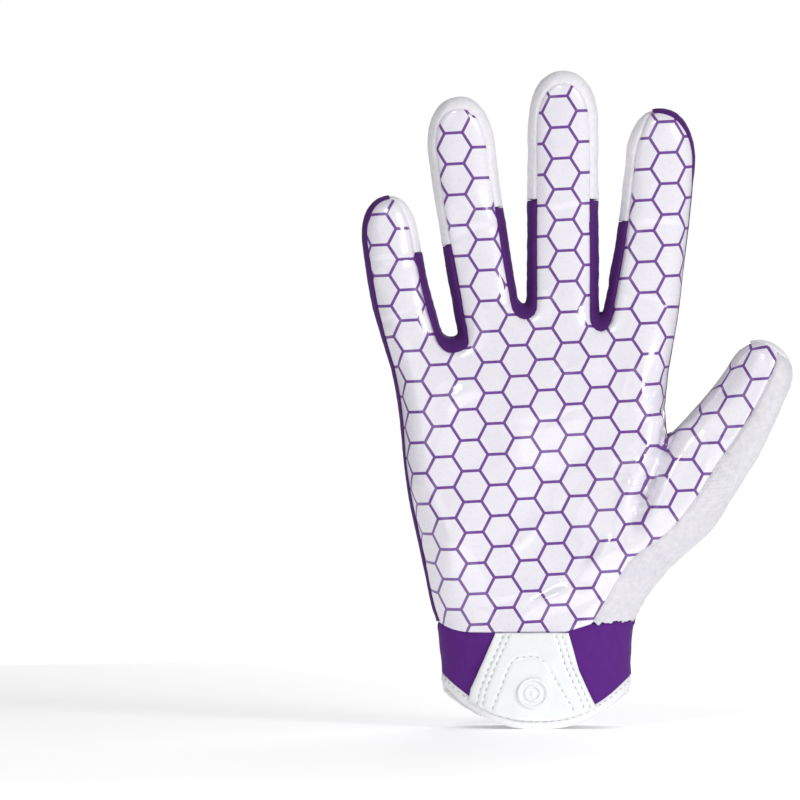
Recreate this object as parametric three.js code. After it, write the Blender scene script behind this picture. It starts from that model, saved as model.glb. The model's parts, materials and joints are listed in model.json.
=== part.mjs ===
// Football glove for a right hand, standing on its cuff as it does when it is worn.
// Millimetres. +Z runs from the cuff opening to the fingertips, the palm faces -Y and the thumb
// points to +X. The origin is the middle of the cuff opening, level with its lowest edge.
//
// The glove is drawn once, flat, as the outline of the hand in the palm's plane. Every panel is a
// patch of that plane, and one pair of formulas lifts a point of the plane to the front or to the
// back of the glove: full thickness inside, rounded off to nothing at the outline.
import * as THREE from 'three';

// Driving sizes
const WALL = 1.3; // thickness of the cloth and suede walls
const SEAM_GAP = 0.3; // between neighbouring panels
const ROUNDNESS = 2.3; // exponent of the rounded sections, 2 would be an ellipse
// Half thickness of the filled glove from its middle surface to the outside
const WRIST_HALF_DEPTH = 17.5;
const PALM_HALF_DEPTH = 14;
const FINGER_HALF_DEPTH = 9.6;
const TIP_HALF_DEPTH = 8.2;
const THUMB_HALF_DEPTH = 10.5;
// Heights z over which one half thickness turns into the next, from and to
const WRIST_TO_PALM = [24, 86];
const PALM_TO_FINGER = [112, 156];
const FINGER_TO_TIP = [150, 230];
// The middle surface leans towards the palm: the fingers from a height on, and the thumb
const FINGER_CURL = { amount: 13, from: 122, over: 114, power: 1.7 };
const THUMB_REACH = { amount: 12, x: [42, 92], rising: [50, 110], falling: [175, 145] };
const THUMB_BALL = { x: [50, 68], z: [70, 100] }; // where the palm's section becomes the thumb's
// How a panel ends on the fingers: the share of the half width that it covers, the share of the
// rounded tip, how far its edge drops below the gap of two fingers, and the rounding of the edge
// there. The last row is the outline itself.
const FRONT = { reach: 0.75, tipReach: 0.77, drop: 5.8, rounding: 4.6, closes: true };
const BACK = { reach: 0.88, tipReach: 0.97, drop: 3.2, rounding: 4.6 };
const RIM = { reach: 1, tipReach: 1, drop: 0, rounding: 2.4 };
const SUEDE_LINE = { reach: 0.25, tipReach: 0.985 }; // on the thumb, where palm panel meets suede
const THUMB_WRAP = { reach: 0.7, rows: 4 }; // behind the thumb: its end, and the rows it takes
// Swellings of the front and the back: centre x, z, size, height. A negative one is a hollow.
const FRONT_PADS = [
  [46, 78, 20, 5.5],
  [8, 88, 18, -2.5],
  [-30, 72, 18, 2.6],
  [-5, 128, 22, 1.2],
];
const BACK_PADS = [
  [-2, 138, 30, 1.5],
];
// Fold between palm and thumb: depth, half width, the share of its line where it starts, and the
// heights over which it deepens
const FOLD = { depth: 3.6, halfWidth: 4.2, from: 0.45, z: [58, 83] };
const FINGER_ROUNDING = { size: 12.4, centre: 20, bend: 0.0005, z: [26, 88] };
const CUFF_HALF_WIDTH = 33.5;
// The cuff's lower edge rises by this towards the sides, with this power of the distance
const CUFF_ARCH = { rise: 15, power: 2.3 };
const CUFF_BINDING = { width: 3.8, lift: 0.4, wall: 2.1 };
const STRAP_CLEARANCE = 0.8; // under the strap, over the cuff's binding
const STRAP_THICKNESS = 1.8;
const TAB_THICKNESS = 1.2;
const DISC = { x: -1.8, z: 13, radius: 5.8, thickness: 0.9 };

// Finger and thumb table: root and tip of the middle line in the palm's plane, the half widths at
// both ends, the length of the rounded tip in tip half widths, and the sideways bow.
const DIGITS = {
  pinky: { root: [-43.6, 136], tip: [-54.4, 190.6], rootHalf: 10.8, tipHalf: 10.1, round: 1.6, bow: -1.5 },
  ring: { root: [-17.8, 148.5], tip: [-29.4, 226.2], rootHalf: 11.7, tipHalf: 12.1, round: 1.65, bow: -0.8 },
  middle: { root: [9.3, 150], tip: [9.1, 235.6], rootHalf: 13.0, tipHalf: 12.7, round: 1.7, bow: 0 },
  index: { root: [36.6, 147], tip: [44.8, 221.6], rootHalf: 13.2, tipHalf: 12.3, round: 1.65, bow: 1.5 },
  thumb: { root: [63, 100], tip: [84.9, 136.9], rootHalf: 14.9, tipHalf: 11.9, round: 1.25, bow: 1.3 },
};
const FINGERS = ['pinky', 'ring', 'middle', 'index'];

// Bottom of each gap of two neighbouring fingers: x, z.
const GAPS = [
  [-31.3, 140.4],
  [-4.7, 152.6],
  [22.7, 148.3],
];
const THUMB_FORK = [46.8, 104.8];

// Outline of the hand beside the palm, from the cuff up: x, z.
const LITTLE_SIDE = [
  [-35.8, 38.2],
  [-38.5, 47.5],
  [-43.6, 72.7],
  [-47.4, 93],
  [-49.2, 112],
  [-51.6, 126.5],
];
const INDEX_SIDE = [
  THUMB_FORK,
  [45.9, 113],
  [46.6, 124],
  [48.4, 136],
];
const THUMB_SIDE = [
  [34.9, 38.5],
  [39.6, 47],
  [47.2, 56.5],
  [55.8, 64.4],
  [65.2, 74.5],
  [72.4, 85.3],
];
// Fold between the palm and the thumb, and the seam of palm panel and suede, from the cuff up.
const THENAR_FOLD = [
  [9.5, 34.6],
  [22, 55],
  [33, 73],
  [40.5, 90],
  THUMB_FORK,
];
const SUEDE_SEAM = [
  [19.1, 37.6],
  [24.5, 46.4],
  [33.5, 60.5],
  [46.1, 70.2],
  [55.5, 81.5],
  [63.2, 93.5],
];
// Seam of back panel and suede, from the cuff up. Its lowest stretch is the open wrist vent.
const BACK_SEAM = [
  [28.5, 33],
  [33.5, 46],
  [38.2, 58],
  [43, 77],
  [46, 93],
  THUMB_FORK,
];
// The vent's half width, and the shares of the back seam over which it closes
const VENT = { halfWidth: 1.7, closing: [0.216, 0.396] };
// At the wrist, x of the borders between the four finger strips of the palm and the back panel
const PALM_BORDERS = [-24, -12, 0];
const BACK_BORDERS = [-18, -3, 12];
// Seams of the panels and the cuff, in front and behind: x, z.
const WRIST_SEAM = [
  [-35.4, 38.2],
  [-28, 34.6],
  [9.5, 34.6],
  [19.1, 37.6],
  [34.4, 38.5],
];
const BACK_WRIST_SEAM = [
  [-35.4, 38.2],
  [-29, 33],
  [30.2, 33],
  [34.4, 38.5],
];
// Sides of the cuff: z, x of the little finger's side, x of the thumb's side.
const CUFF_SIDES = [
  [-40, -33.5, 33.5],
  [10, -33.5, 33.5],
  [24, -34.4, 33.6],
  [38.4, -35.8, 34.9],
];
// Edges of the wrist tab, from its lower end up: z, x left, x right.
const TAB_SIDES = [
  [8.4, -24.5, 20.6],
  [13.5, -23.6, 18.4],
  [22, -20.4, 14.6],
  [33.8, -15.2, 10.8],
];

// Small tools for numbers and points
const mix = (a, b, f) => a + (b - a) * f;
const mixPoint = (p, q, f) => p.map((value, k) => mix(value, q[k], f));
const clamp = f => Math.min(1, Math.max(0, f));
const ease = f => clamp(f) ** 2 * (3 - 2 * clamp(f));
const shareOver = (value, [from, to]) => clamp((value - from) / (to - from));
const easeOver = (value, span) => ease(shareOver(value, span));
const range = count => Array.from({ length: count }, (_, k) => k);
const evenly = count => range(count + 1).map(k => k / count);
const quarterArc = f => Math.sqrt(1 - (1 - clamp(f)) ** 2);

// Smooth curve through the rows of a table, at share f of its length in rows.
function along(table, f) {
  const last = table.length - 1;
  const k = Math.min(last - 1, Math.max(0, Math.floor(f * last)));
  const t = f * last - k;
  const rows = [k - 1, k, k + 1, k + 2].map(i => table[Math.min(last, Math.max(0, i))]);
  return [0, 1].map(axis => {
    const [a, b, c, d] = rows.map(row => row[axis]);
    const slopeB = (c - a) / 2;
    const slopeC = (d - b) / 2;
    return b + slopeB * t + (3 * (c - b) - 2 * slopeB - slopeC) * t * t
      + (2 * (b - c) + slopeB + slopeC) * t * t * t;
  });
}

// Straight interpolation of a column in a table whose first column rises.
function lookUp(table, value, column = 1) {
  const k = table.findIndex((row, i) => i > 0 && (value <= row[0] || i === table.length - 1));
  const share = clamp((value - table[k - 1][0]) / (table[k][0] - table[k - 1][0]));
  return mix(table[k - 1][column], table[k][column], share);
}

// Local frame of a digit
function frameOf(name) {
  const d = DIGITS[name];
  const length = Math.hypot(d.tip[0] - d.root[0], d.tip[1] - d.root[1]);
  const up = [(d.tip[0] - d.root[0]) / length, (d.tip[1] - d.root[1]) / length];
  return { ...d, length, up, right: [up[1], -up[0]], tipStart: 1 - (d.round * d.tipHalf) / length };
}
const FRAMES = Object.fromEntries(Object.keys(DIGITS).map(name => [name, frameOf(name)]));

// Point of the plane at share a of the digit's length and c half widths across.
function digitPoint(frame, a, c) {
  const half = mix(frame.rootHalf, frame.tipHalf, clamp(a / frame.tipStart));
  const across = frame.bow * 4 * a * (1 - a) + c * half;
  return [0, 1].map(k => frame.root[k] + frame.up[k] * a * frame.length + frame.right[k] * across);
}

// A row's edge on one side of a digit: below the rounded tip at share a, and on the tip at an angle
// from 0 at its start to 90 degrees at its top. reach and tipReach are 1 on the outline.
function edgePoint(frame, side, station, reach, tipReach) {
  if (station.a !== undefined) {
    return digitPoint(frame, station.a, side * reach);
  }
  const angle = (station.degrees * Math.PI) / 180;
  const c = side * reach * Math.cos(angle) ** (2 / ROUNDNESS);
  const rise = tipReach * Math.sin(angle) ** (2 / ROUNDNESS);
  return digitPoint(frame, mix(frame.tipStart, 1, rise), c);
}

// Edge of a panel in and above the gap of two fingers: it starts at the bottom point and turns up
// into the finger's side over the rounding.
const GAP_ROWS = [0, 0.16, 0.5, 1, 1.6];
function gapEdge(frame, side, reach, bottom, rounding) {
  return GAP_ROWS.map(share => {
    const z = bottom[1] + share * rounding;
    const rise = z - frame.root[1] - frame.right[1] * side * reach * frame.rootHalf;
    const [x] = digitPoint(frame, rise / (frame.up[1] * frame.length), side * reach);
    return [mix(bottom[0], x, quarterArc(share)), z];
  });
}

// Stations of a digit above its gap rows: shares of the straight length, then angles on the tip.
const STRAIGHT_ROWS = 4;
const TIP_ANGLES = [0, 30, 54, 73, 85, 90];
function stations(frame, from) {
  const straight = range(STRAIGHT_ROWS).map(k => ({ a: mix(from, frame.tipStart, k / STRAIGHT_ROWS) }));
  return [...straight, ...TIP_ANGLES.map(degrees => ({ degrees }))];
}
const FIRST_STATION = { pinky: 0.3, ring: 0.2, middle: 0.17, index: 0.17, thumb: 0 };

// One whole side of a finger from the gap to the top of the tip. The outer sides of the little and
// index fingers have no gusset: there a panel reaches the outline, and in front it closes over the
// top of the tip.
const ONE_SIDED = { pinky: -1, index: 1 };
const CLOSING_ANGLES = [35, 85]; // angles on the tip over which the front panel closes
const OUTER_START = 0.6; // rows from the palm's last row to the first one of a finger's outer side
function fingerEdge(name, side, panel) {
  const frame = FRAMES[name];
  const outer = ONE_SIDED[name] === side;
  const gap = GAPS[FINGERS.indexOf(name) + (side > 0 ? 0 : -1)];
  const upper = stations(frame, FIRST_STATION[name]).map(station => {
    const closing = panel.closes && ONE_SIDED[name] ? easeOver(station.degrees ?? 0, CLOSING_ANGLES) : 0;
    const reach = outer ? 1 : mix(panel.reach, 1, closing);
    const tipReach = outer ? 1 : mix(panel.tipReach, 1, closing);
    return edgePoint(frame, side, station, reach, tipReach);
  });
  if (!outer) {
    const bottom = [gap[0], gap[1] - panel.drop];
    return [...gapEdge(frame, side, panel.reach, bottom, panel.rounding), ...upper];
  }
  const below = side < 0 ? LITTLE_SIDE.at(-1) : INDEX_SIDE.at(-1);
  const rows = GAP_ROWS.length + OUTER_START;
  const lower = GAP_ROWS.map((_, k) => mixPoint(below, upper[0], (k + OUTER_START) / rows));
  return [...lower, ...upper];
}

function thumbEdge(side, reach, tipReach) {
  return stations(FRAMES.thumb, FIRST_STATION.thumb)
    .map(station => edgePoint(FRAMES.thumb, side, station, reach, tipReach));
}

// Rows of the palm and back below the fingers, and the row that ends at the fork of the thumb
const PALM_ROWS = 13;
const FORK_ROW = 9;
const littleSide = () => range(PALM_ROWS).map(j => along(LITTLE_SIDE, j / PALM_ROWS));
const indexSide = () => range(PALM_ROWS - FORK_ROW).map(j => along(INDEX_SIDE, j / (PALM_ROWS - FORK_ROW)));
const thumbSide = () => range(FORK_ROW + 1).map(j => along(THUMB_SIDE, j / FORK_ROW));

// Outline of the whole glove, from the cuff's little-finger side round to its thumb side.
function outline() {
  const points = CUFF_SIDES.slice(0, -1).map(([z, left]) => [left, z]);
  points.push(...littleSide());
  FINGERS.forEach(name => {
    points.push(...fingerEdge(name, -1, RIM), ...fingerEdge(name, 1, RIM).reverse().slice(1));
  });
  points.push(...indexSide().reverse());
  points.push(...thumbEdge(-1, 1, 1), ...thumbEdge(1, 1, 1).reverse().slice(1));
  points.push(...thumbSide().reverse());
  points.push(...CUFF_SIDES.slice(0, -1).reverse().map(([z, , right]) => [right, z]));
  return points;
}
const OUTLINE = outline();

// Distance of a point of the plane from a line of points, with the direction away from that line.
function nearest(points, x, z) {
  let best = { distance: Infinity, inward: [0, 0] };
  for (let k = 1; k < points.length; k += 1) {
    const [ax, az] = points[k - 1];
    const [dx, dz] = [points[k][0] - ax, points[k][1] - az];
    const size = dx * dx + dz * dz || 1;
    const t = clamp(((x - ax) * dx + (z - az) * dz) / size);
    const [ex, ez] = [x - ax - t * dx, z - az - t * dz];
    const distance = Math.hypot(ex, ez);
    if (distance < best.distance - 1e-9) {
      const inward = distance > 0.02
        ? [ex / distance, ez / distance]
        : [dz / Math.sqrt(size), -dx / Math.sqrt(size)];
      best = { distance, inward };
    }
  }
  return best;
}

// Half thickness in front of and behind the middle surface, well inside the outline
function fullDepth(x, z, front) {
  const palm = mix(WRIST_HALF_DEPTH, PALM_HALF_DEPTH, easeOver(z, WRIST_TO_PALM));
  const finger = mix(FINGER_HALF_DEPTH, TIP_HALF_DEPTH, shareOver(z, FINGER_TO_TIP));
  const thumb = easeOver(x, THUMB_BALL.x) * easeOver(z, THUMB_BALL.z);
  const base = mix(mix(palm, finger, easeOver(z, PALM_TO_FINGER)), THUMB_HALF_DEPTH, thumb);
  const pads = front ? FRONT_PADS : BACK_PADS;
  return pads.reduce((sum, [padX, padZ, size, height]) => (
    sum + height * Math.exp(-((x - padX) ** 2 + (z - padZ) ** 2) / size ** 2)), base);
}

// Middle surface: the fingers curl and the thumb reaches towards the palm's side
function middleY(x, z) {
  const curl = FINGER_CURL.amount * clamp((z - FINGER_CURL.from) / FINGER_CURL.over) ** FINGER_CURL.power;
  const { amount, rising, falling } = THUMB_REACH;
  return -curl - amount * easeOver(x, THUMB_REACH.x) * easeOver(z, rising) * easeOver(z, falling);
}

// Distance over which the wall rounds off to the outline
function roundingAt(x, z) {
  const { size, centre, bend } = FINGER_ROUNDING;
  return mix(CUFF_HALF_WIDTH, size - bend * (x - centre) ** 2, easeOver(z, FINGER_ROUNDING.z));
}

const FOLD_POINTS = 12;
const foldLine = evenly(FOLD_POINTS - 1).map(f => along(THENAR_FOLD, mix(FOLD.from, 1, f)));
function foldDepth(x, z) {
  const { distance } = nearest(foldLine, x, z);
  return FOLD.depth * Math.exp(-((distance / FOLD.halfWidth) ** 2)) * easeOver(z, FOLD.z);
}

// Height y of the glove's outer surface over the point x, z, in front or behind
function surfaceY(x, z, front) {
  const { distance } = nearest(OUTLINE, x, z);
  const share = clamp(distance / roundingAt(x, z));
  const profile = (1 - (1 - share) ** ROUNDNESS) ** (1 / ROUNDNESS);
  const depth = (fullDepth(x, z, front) - front * foldDepth(x, z)) * profile;
  return middleY(x, z) + (front ? -depth : depth);
}

// Outward direction of that surface. On the outline it lies in the palm's plane.
function surfaceNormal(x, z, front) {
  const { distance, inward } = nearest(OUTLINE, x, z);
  const step = 0.25;
  if (distance < 0.05) {
    return new THREE.Vector3(-inward[0], 0, -inward[1]);
  }
  const reach = Math.min(step, distance * 0.5);
  const slopeX = (surfaceY(x + reach, z, front) - surfaceY(x - reach, z, front)) / (2 * reach);
  const slopeZ = (surfaceY(x, z + reach, front) - surfaceY(x, z - reach, front)) / (2 * reach);
  const sign = front ? 1 : -1;
  return new THREE.Vector3(sign * slopeX, -sign, sign * slopeZ).normalize();
}

// A patch is a grid of rows of points { x, z, front }. A shell is one or more patches that share
// edges, lifted to the glove and given a wall: an outer side, an inner side and the rims between.
// Points on the outline keep half a seam's gap, so that front and back panels meet without touching.
const spot = ([x, z], front) => ({ x, z, front });

function shell(patches, { lift = 0, wall = WALL } = {}) {
  const outer = [];
  const inner = [];
  const normals = [];
  const keys = new Map();
  const vertex = ({ x, z, front }) => {
    const key = `${x.toFixed(3)},${z.toFixed(3)},${front}`;
    if (!keys.has(key)) {
      const normal = surfaceNormal(x, z, front);
      const y = surfaceY(x, z, front);
      const aside = normal.y === 0 ? SEAM_GAP / 2 : 0;
      const base = new THREE.Vector3(x, y + (front ? -aside : aside), z);
      keys.set(key, outer.length);
      outer.push(base.clone().addScaledVector(normal, lift));
      inner.push(base.clone().addScaledVector(normal, lift - wall));
      normals.push(normal);
    }
    return keys.get(key);
  };
  const triangles = patches.flatMap(rows => facing(gridTriangles(rows.map(row => row.map(vertex))),
    outer, normals));
  return closedGeometry(outer, inner, triangles);
}

// Two triangles for each cell of a grid of vertex numbers, none where corners fall together
function gridTriangles(grid) {
  const triangles = [];
  for (let j = 1; j < grid.length; j += 1) {
    for (let k = 1; k < grid[j].length; k += 1) {
      const [a, b, c, d] = [grid[j - 1][k - 1], grid[j - 1][k], grid[j][k], grid[j][k - 1]];
      triangles.push([a, b, c], [a, c, d]);
    }
  }
  return triangles.filter(([p, q, r]) => p !== q && q !== r && r !== p);
}

// The triangles turned so that they face the way of the outward directions
function facing(triangles, points, normals) {
  const turn = triangles.reduce((sum, [a, b, c]) => {
    const side = points[b].clone().sub(points[a]).cross(points[c].clone().sub(points[a]));
    return sum + side.dot(normals[a].clone().add(normals[b]).add(normals[c]));
  }, 0);
  return turn < 0 ? triangles.map(([a, b, c]) => [a, c, b]) : triangles;
}

// Closed body from an outer side, an inner side and rims along every edge that one triangle has
function closedGeometry(outer, inner, triangles) {
  const count = outer.length;
  const edges = new Map();
  triangles.forEach(([a, b, c]) => {
    [[a, b], [b, c], [c, a]].forEach(([p, q]) => edges.set(`${p},${q}`, [p, q]));
  });
  const index = [];
  triangles.forEach(([a, b, c]) => {
    index.push(a, b, c, count + a, count + c, count + b);
  });
  edges.forEach(([p, q]) => {
    if (!edges.has(`${q},${p}`)) {
      index.push(q, p, count + p, q, count + p, count + q);
    }
  });
  const geometry = new THREE.BufferGeometry();
  const points = [...outer, ...inner].flatMap(point => point.toArray());
  geometry.setAttribute('position', new THREE.Float32BufferAttribute(points, 3));
  geometry.setIndex(index);
  geometry.computeVertexNormals();
  return geometry;
}

// Rows between two edges on one side of the glove. spread gives the shares across.
const towardsEnd = count => evenly(count).map(f => 1 - (1 - f) ** 2);
const towardsStart = count => evenly(count).map(f => f * f);
function between(left, right, spread, front, levelled = () => 0) {
  return left.map((point, j) => spread.map(f => {
    const [x] = mixPoint(point, right[j], f);
    return spot([x, mix(point[1], right[j][1], mix(f, ease(f), levelled(j)))], front);
  }));
}

// A strip that wraps over the outline: from an edge in front, over the outline, to one behind.
function wrap(frontEdge, rimEdge, backEdge, frontColumns, backColumns) {
  return frontEdge.map((point, j) => [
    ...towardsEnd(frontColumns).slice(0, -1).map(f => spot(mixPoint(point, rimEdge[j], f), 1)),
    ...towardsStart(backColumns).map(f => spot(mixPoint(rimEdge[j], backEdge[j], f), f === 0 ? 1 : 0)),
  ]);
}

// An edge moved sideways in the plane, square to its own run, on the side of another edge
function moved(edge, towards, distance) {
  return edge.map(([x, z], j) => {
    const before = edge[Math.max(0, j - 1)];
    const after = edge[Math.min(edge.length - 1, j + 1)];
    const run = Math.hypot(after[0] - before[0], after[1] - before[1]) || 1;
    const [sideX, sideZ] = [(after[1] - before[1]) / run, (before[0] - after[0]) / run];
    const way = Math.sign(sideX * (towards[j][0] - x) + sideZ * (towards[j][1] - z)) || 1;
    return [x + way * sideX * distance, z + way * sideZ * distance];
  });
}

function mesh(name, geometry, material) {
  const made = new THREE.Mesh(geometry, material());
  made.name = name;
  return made;
}

// Materials, one short function each
const cloth = (color, roughness) => new THREE.MeshStandardMaterial({ color, roughness, metalness: 0 });
const siliconePrint = () => cloth(0xe8ddf4, 0.28);
const purpleSpandex = () => cloth(0x5e2b7c, 0.72);
const whiteSuede = () => cloth(0xe9e7ee, 0.85);
const cuffNeoprene = () => cloth(0x5c2a85, 0.7);
const strapNeoprene = () => cloth(0x735094, 0.7);
const whiteBinding = () => cloth(0xf4f4f7, 0.6);
const glossyTab = () => cloth(0xf5f9f8, 0.3);

const rowsOf = (from, to) => range(PALM_ROWS).map(j => mixPoint(from, to, j / PALM_ROWS));
const indexEdge = lower => [...range(FORK_ROW).map(j => along(lower, j / FORK_ROW)), ...indexSide()];

// Left and right edges of the four finger strips of a panel, from the wrist to the fingertips
function fingerStrips(wristX, wristZ, innerEdge, panel) {
  const inner = GAPS.map(([x, z], k) => rowsOf([wristX[k], wristZ(wristX[k])], [x, z - panel.drop]));
  const borders = [littleSide(), ...inner, innerEdge];
  return FINGERS.map((name, k) => ({
    left: [...borders[k], ...fingerEdge(name, -1, panel)],
    right: [...borders[k + 1], ...fingerEdge(name, 1, panel)],
  }));
}

// Rows near the gaps of the fingers leave their ends level, as the panel's edge does there
const LEVEL_ROWS = 5;
const levelled = j => ease(1 - Math.abs(j - PALM_ROWS) / LEVEL_ROWS);

// The four finger strips of a panel. Columns are closer where the panel rounds off to the outline.
function fingerPatches(strips, front) {
  const spreads = [towardsStart(6), evenly(5), evenly(5), towardsEnd(6)];
  return strips.map(({ left, right }, k) => between(left, right, spreads[k], front, levelled));
}

// The thumb at the stations of its edges: the outline on the palm's side, and the line behind the
// thumb where the palm panel's wrapped edge meets the suede
const thumbInnerRim = thumbEdge(-1, 1, 1);
const thumbMiddle = thumbEdge(1, 0, 1);
const thumbWrapEdge = thumbInnerRim.map((point, j) => (
  mixPoint(thumbMiddle[j], point, mix(1, THUMB_WRAP.reach, ease((j + 1) / THUMB_WRAP.rows)))));
const suedeHigh = thumbEdge(1, SUEDE_LINE.reach, SUEDE_LINE.tipReach);
const belowFork = table => evenly(FORK_ROW).map(f => along(table, f));

// Palm panel: the palm, the fronts of the four fingers and the thumb's pad, which wraps behind it
function palmPanel() {
  const wristZ = x => lookUp(WRIST_SEAM, x);
  const strips = fingerStrips(PALM_BORDERS, wristZ, indexEdge(THENAR_FOLD), FRONT);
  const thumbRim = [THUMB_FORK, ...thumbInnerRim];
  const seam = [SUEDE_SEAM.at(-1), ...suedeHigh];
  const behind = [THUMB_FORK, ...thumbWrapEdge];
  const thenar = between(belowFork(THENAR_FOLD), belowFork(SUEDE_SEAM), towardsStart(4), 1);
  const thumbFront = between(thumbRim, seam, towardsStart(4), 1);
  const thumbBack = between(behind.slice(0, -1), thumbRim.slice(0, -1), towardsEnd(3), 0)
    .map(row => row.map((point, k) => (k === row.length - 1 ? { ...point, front: 1 } : point)));
  return shell([...fingerPatches(strips, 1), thenar, thumbFront, thumbBack]);
}

// Back panel: the back of the hand and of the four fingers
function backPanel() {
  const wristZ = x => lookUp(BACK_WRIST_SEAM, x);
  const strips = fingerStrips(BACK_BORDERS, wristZ, indexEdge(ventEdge(-1)), BACK);
  return shell(fingerPatches(strips, 0));
}

// Back seam moved aside along the vent, to the left or right
function ventEdge(side) {
  const last = BACK_SEAM.length - 1;
  return BACK_SEAM.map(([x, z], k) => {
    const open = 1 - easeOver(k / last, VENT.closing);
    return [x + side * (VENT.halfWidth * open + (k === last ? 0 : SEAM_GAP / 2)), z];
  });
}

// Thumb panel: suede from the palm panel's seam round the outside to the back panel's seam
function thumbPanel() {
  const front = [...belowFork(SUEDE_SEAM), ...suedeHigh];
  const rim = [...thumbSide(), ...thumbEdge(1, 1, 1)];
  const back = [...belowFork(ventEdge(1)), ...thumbWrapEdge];
  return shell([wrap(moved(front, rim, SEAM_GAP), rim, moved(back, rim, SEAM_GAP), 5, 7).slice(0, -1)]);
}

// Rows of a finger's side strip on one side: its edges in front, on the outline and behind
function sideRows(name, side) {
  return {
    front: fingerEdge(name, side, FRONT),
    rim: fingerEdge(name, side, RIM),
    back: fingerEdge(name, side, BACK),
  };
}

function sideStrip(rows) {
  const front = moved(rows.front, rows.rim, SEAM_GAP);
  const back = moved(rows.back, rows.rim, SEAM_GAP);
  return shell([wrap(front, rows.rim, back, 3, 3)]);
}

const joined = (first, second) => ({
  front: [...first.front, ...second.front],
  rim: [...first.rim, ...second.rim],
  back: [...first.back, ...second.back],
});
const cut = (rows, from, to) => ({
  front: rows.front.slice(from, to),
  rim: rows.rim.slice(from, to),
  back: rows.back.slice(from, to),
});
const turned = rows => ({
  front: [...rows.front].reverse(),
  rim: [...rows.rim].reverse(),
  back: [...rows.back].reverse(),
});

// Gusset between two fingers: down one finger's side, through the gap and up the next one's
// Number of rows of the gusset on each finger's two sides; suede goes on from there to the tip.
const GUSSET_ROWS = {
  pinky: { 1: 9 },
  ring: { [-1]: 7, 1: 8 },
  middle: { [-1]: 8, 1: 8 },
  index: { [-1]: 8 },
};
function gusset(gap) {
  const [leftName, rightName] = [FINGERS[gap], FINGERS[gap + 1]];
  const leftSide = turned(cut(sideRows(leftName, 1), 0, GUSSET_ROWS[leftName][1]));
  const rightSide = cut(sideRows(rightName, -1), 1, GUSSET_ROWS[rightName][-1]);
  return sideStrip(joined(leftSide, rightSide));
}

// Suede band round a fingertip, from the gusset on one side to the gusset on the other. The little
// finger and the index finger have it on the inner side only, up to the top of the tip.
function tipBand(name) {
  const upper = side => shortened(cut(sideRows(name, side), GUSSET_ROWS[name][side] - 1));
  if (ONE_SIDED[name]) {
    return sideStrip(cut(upper(-ONE_SIDED[name]), 0, -2));
  }
  return sideStrip(joined(upper(-1), cut(turned(upper(1)), 1)));
}

// The band starts a seam's gap above the gusset's end
function shortened(rows) {
  const start = ([from, to, ...rest]) => {
    const share = SEAM_GAP / Math.hypot(to[0] - from[0], to[1] - from[1]);
    return [mixPoint(from, to, share), to, ...rest];
  };
  return { front: start(rows.front), rim: start(rows.rim), back: start(rows.back) };
}

// Place on the cuff at an angle round it: 0 is the middle of the palm's side, 90 degrees the thumb's
// side and 180 the middle of the back.
function cuffSpot(degrees, z) {
  const [left, right] = [lookUp(CUFF_SIDES, z, 1), lookUp(CUFF_SIDES, z, 2)];
  const sine = Math.sin((degrees * Math.PI) / 180);
  const x = (left + right) / 2 + ((right - left) / 2) * sine;
  return { x, z, front: Math.abs(degrees) <= 90 ? 1 : 0 };
}
const CUFF_LEVEL = 20; // the height at which the columns round the cuff are spaced
const cuffX = degrees => cuffSpot(degrees, CUFF_LEVEL).x;
const cuffFoot = x => CUFF_ARCH.rise * Math.abs(x / CUFF_HALF_WIDTH) ** CUFF_ARCH.power;

// A ring round the cuff between two edges, each a function of x and of front or back
const CUFF_STEPS = 44;
function ring(foot, top, rows, options) {
  const angles = range(CUFF_STEPS).map(k => -180 + (360 * k) / CUFF_STEPS);
  const columns = [...angles, angles[0]].map(degrees => {
    const [x, front] = [cuffX(degrees), Math.abs(degrees) <= 90];
    return evenly(rows).map(f => cuffSpot(degrees, mix(foot(x, front), top(x, front), f)));
  });
  return shell([columns], options);
}
const bindingTop = x => cuffFoot(x) + CUFF_BINDING.width;
const cuffTop = (x, front) => lookUp(front ? WRIST_SEAM : BACK_WRIST_SEAM, x) - 2 * SEAM_GAP;
const cuffBand = () => ring(x => bindingTop(x) + SEAM_GAP, cuffTop, 3);
const cuffBinding = () => ring(cuffFoot, bindingTop, 1, CUFF_BINDING);

// White tab over the cuff at the heel of the hand, with a round raised disc
function wristTab() {
  const rows = evenly(4).map(f => {
    const z = mix(TAB_SIDES[0][0], TAB_SIDES.at(-1)[0], f);
    const [left, right] = [lookUp(TAB_SIDES, z, 1), lookUp(TAB_SIDES, z, 2)];
    return evenly(8).map(g => {
      const x = mix(left, right, g);
      return spot([x, mix(bindingTop(x) + 2 * SEAM_GAP, TAB_SIDES.at(-1)[0], f)], 1);
    });
  });
  return shell([rows], { lift: SEAM_GAP + TAB_THICKNESS, wall: TAB_THICKNESS });
}

function tabDisc() {
  const rows = evenly(2).map(f => range(17).map(k => {
    const angle = (2 * Math.PI * (k % 16)) / 16;
    const radius = DISC.radius * f;
    return spot([DISC.x + radius * Math.cos(angle), DISC.z + radius * Math.sin(angle)], 1);
  }));
  const lift = 2 * SEAM_GAP + TAB_THICKNESS + DISC.thickness;
  return shell([rows], { lift, wall: DISC.thickness });
}

// Strap on the back of the cuff, from its sewn end at the thumb's side to its round free end.
// Edge tables: x, lower and upper edge of the purple field, lower and upper edge of its binding.
const STRAP_EDGES = [
  [-34, 8.6, 30, 3.2, 35.6],
  [14, 8.6, 30, 3.2, 35.8],
  [24, 9.6, 31, 4.2, 37.4],
  [33, 12.4, 34.4, 7.6, 40.6],
];
const STRAP_ANGLES = { sewn: 70, end: -38 }; // round the cuff from the middle of the back
// Length of the round free end, for the field and the binding, and the exponent of its curve
const STRAP_END = { reach: 8, bindingReach: 12.6, power: 2.6 };
const STRAP_BINDING_LIFT = 0.4; // the binding's fold over the field

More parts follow.
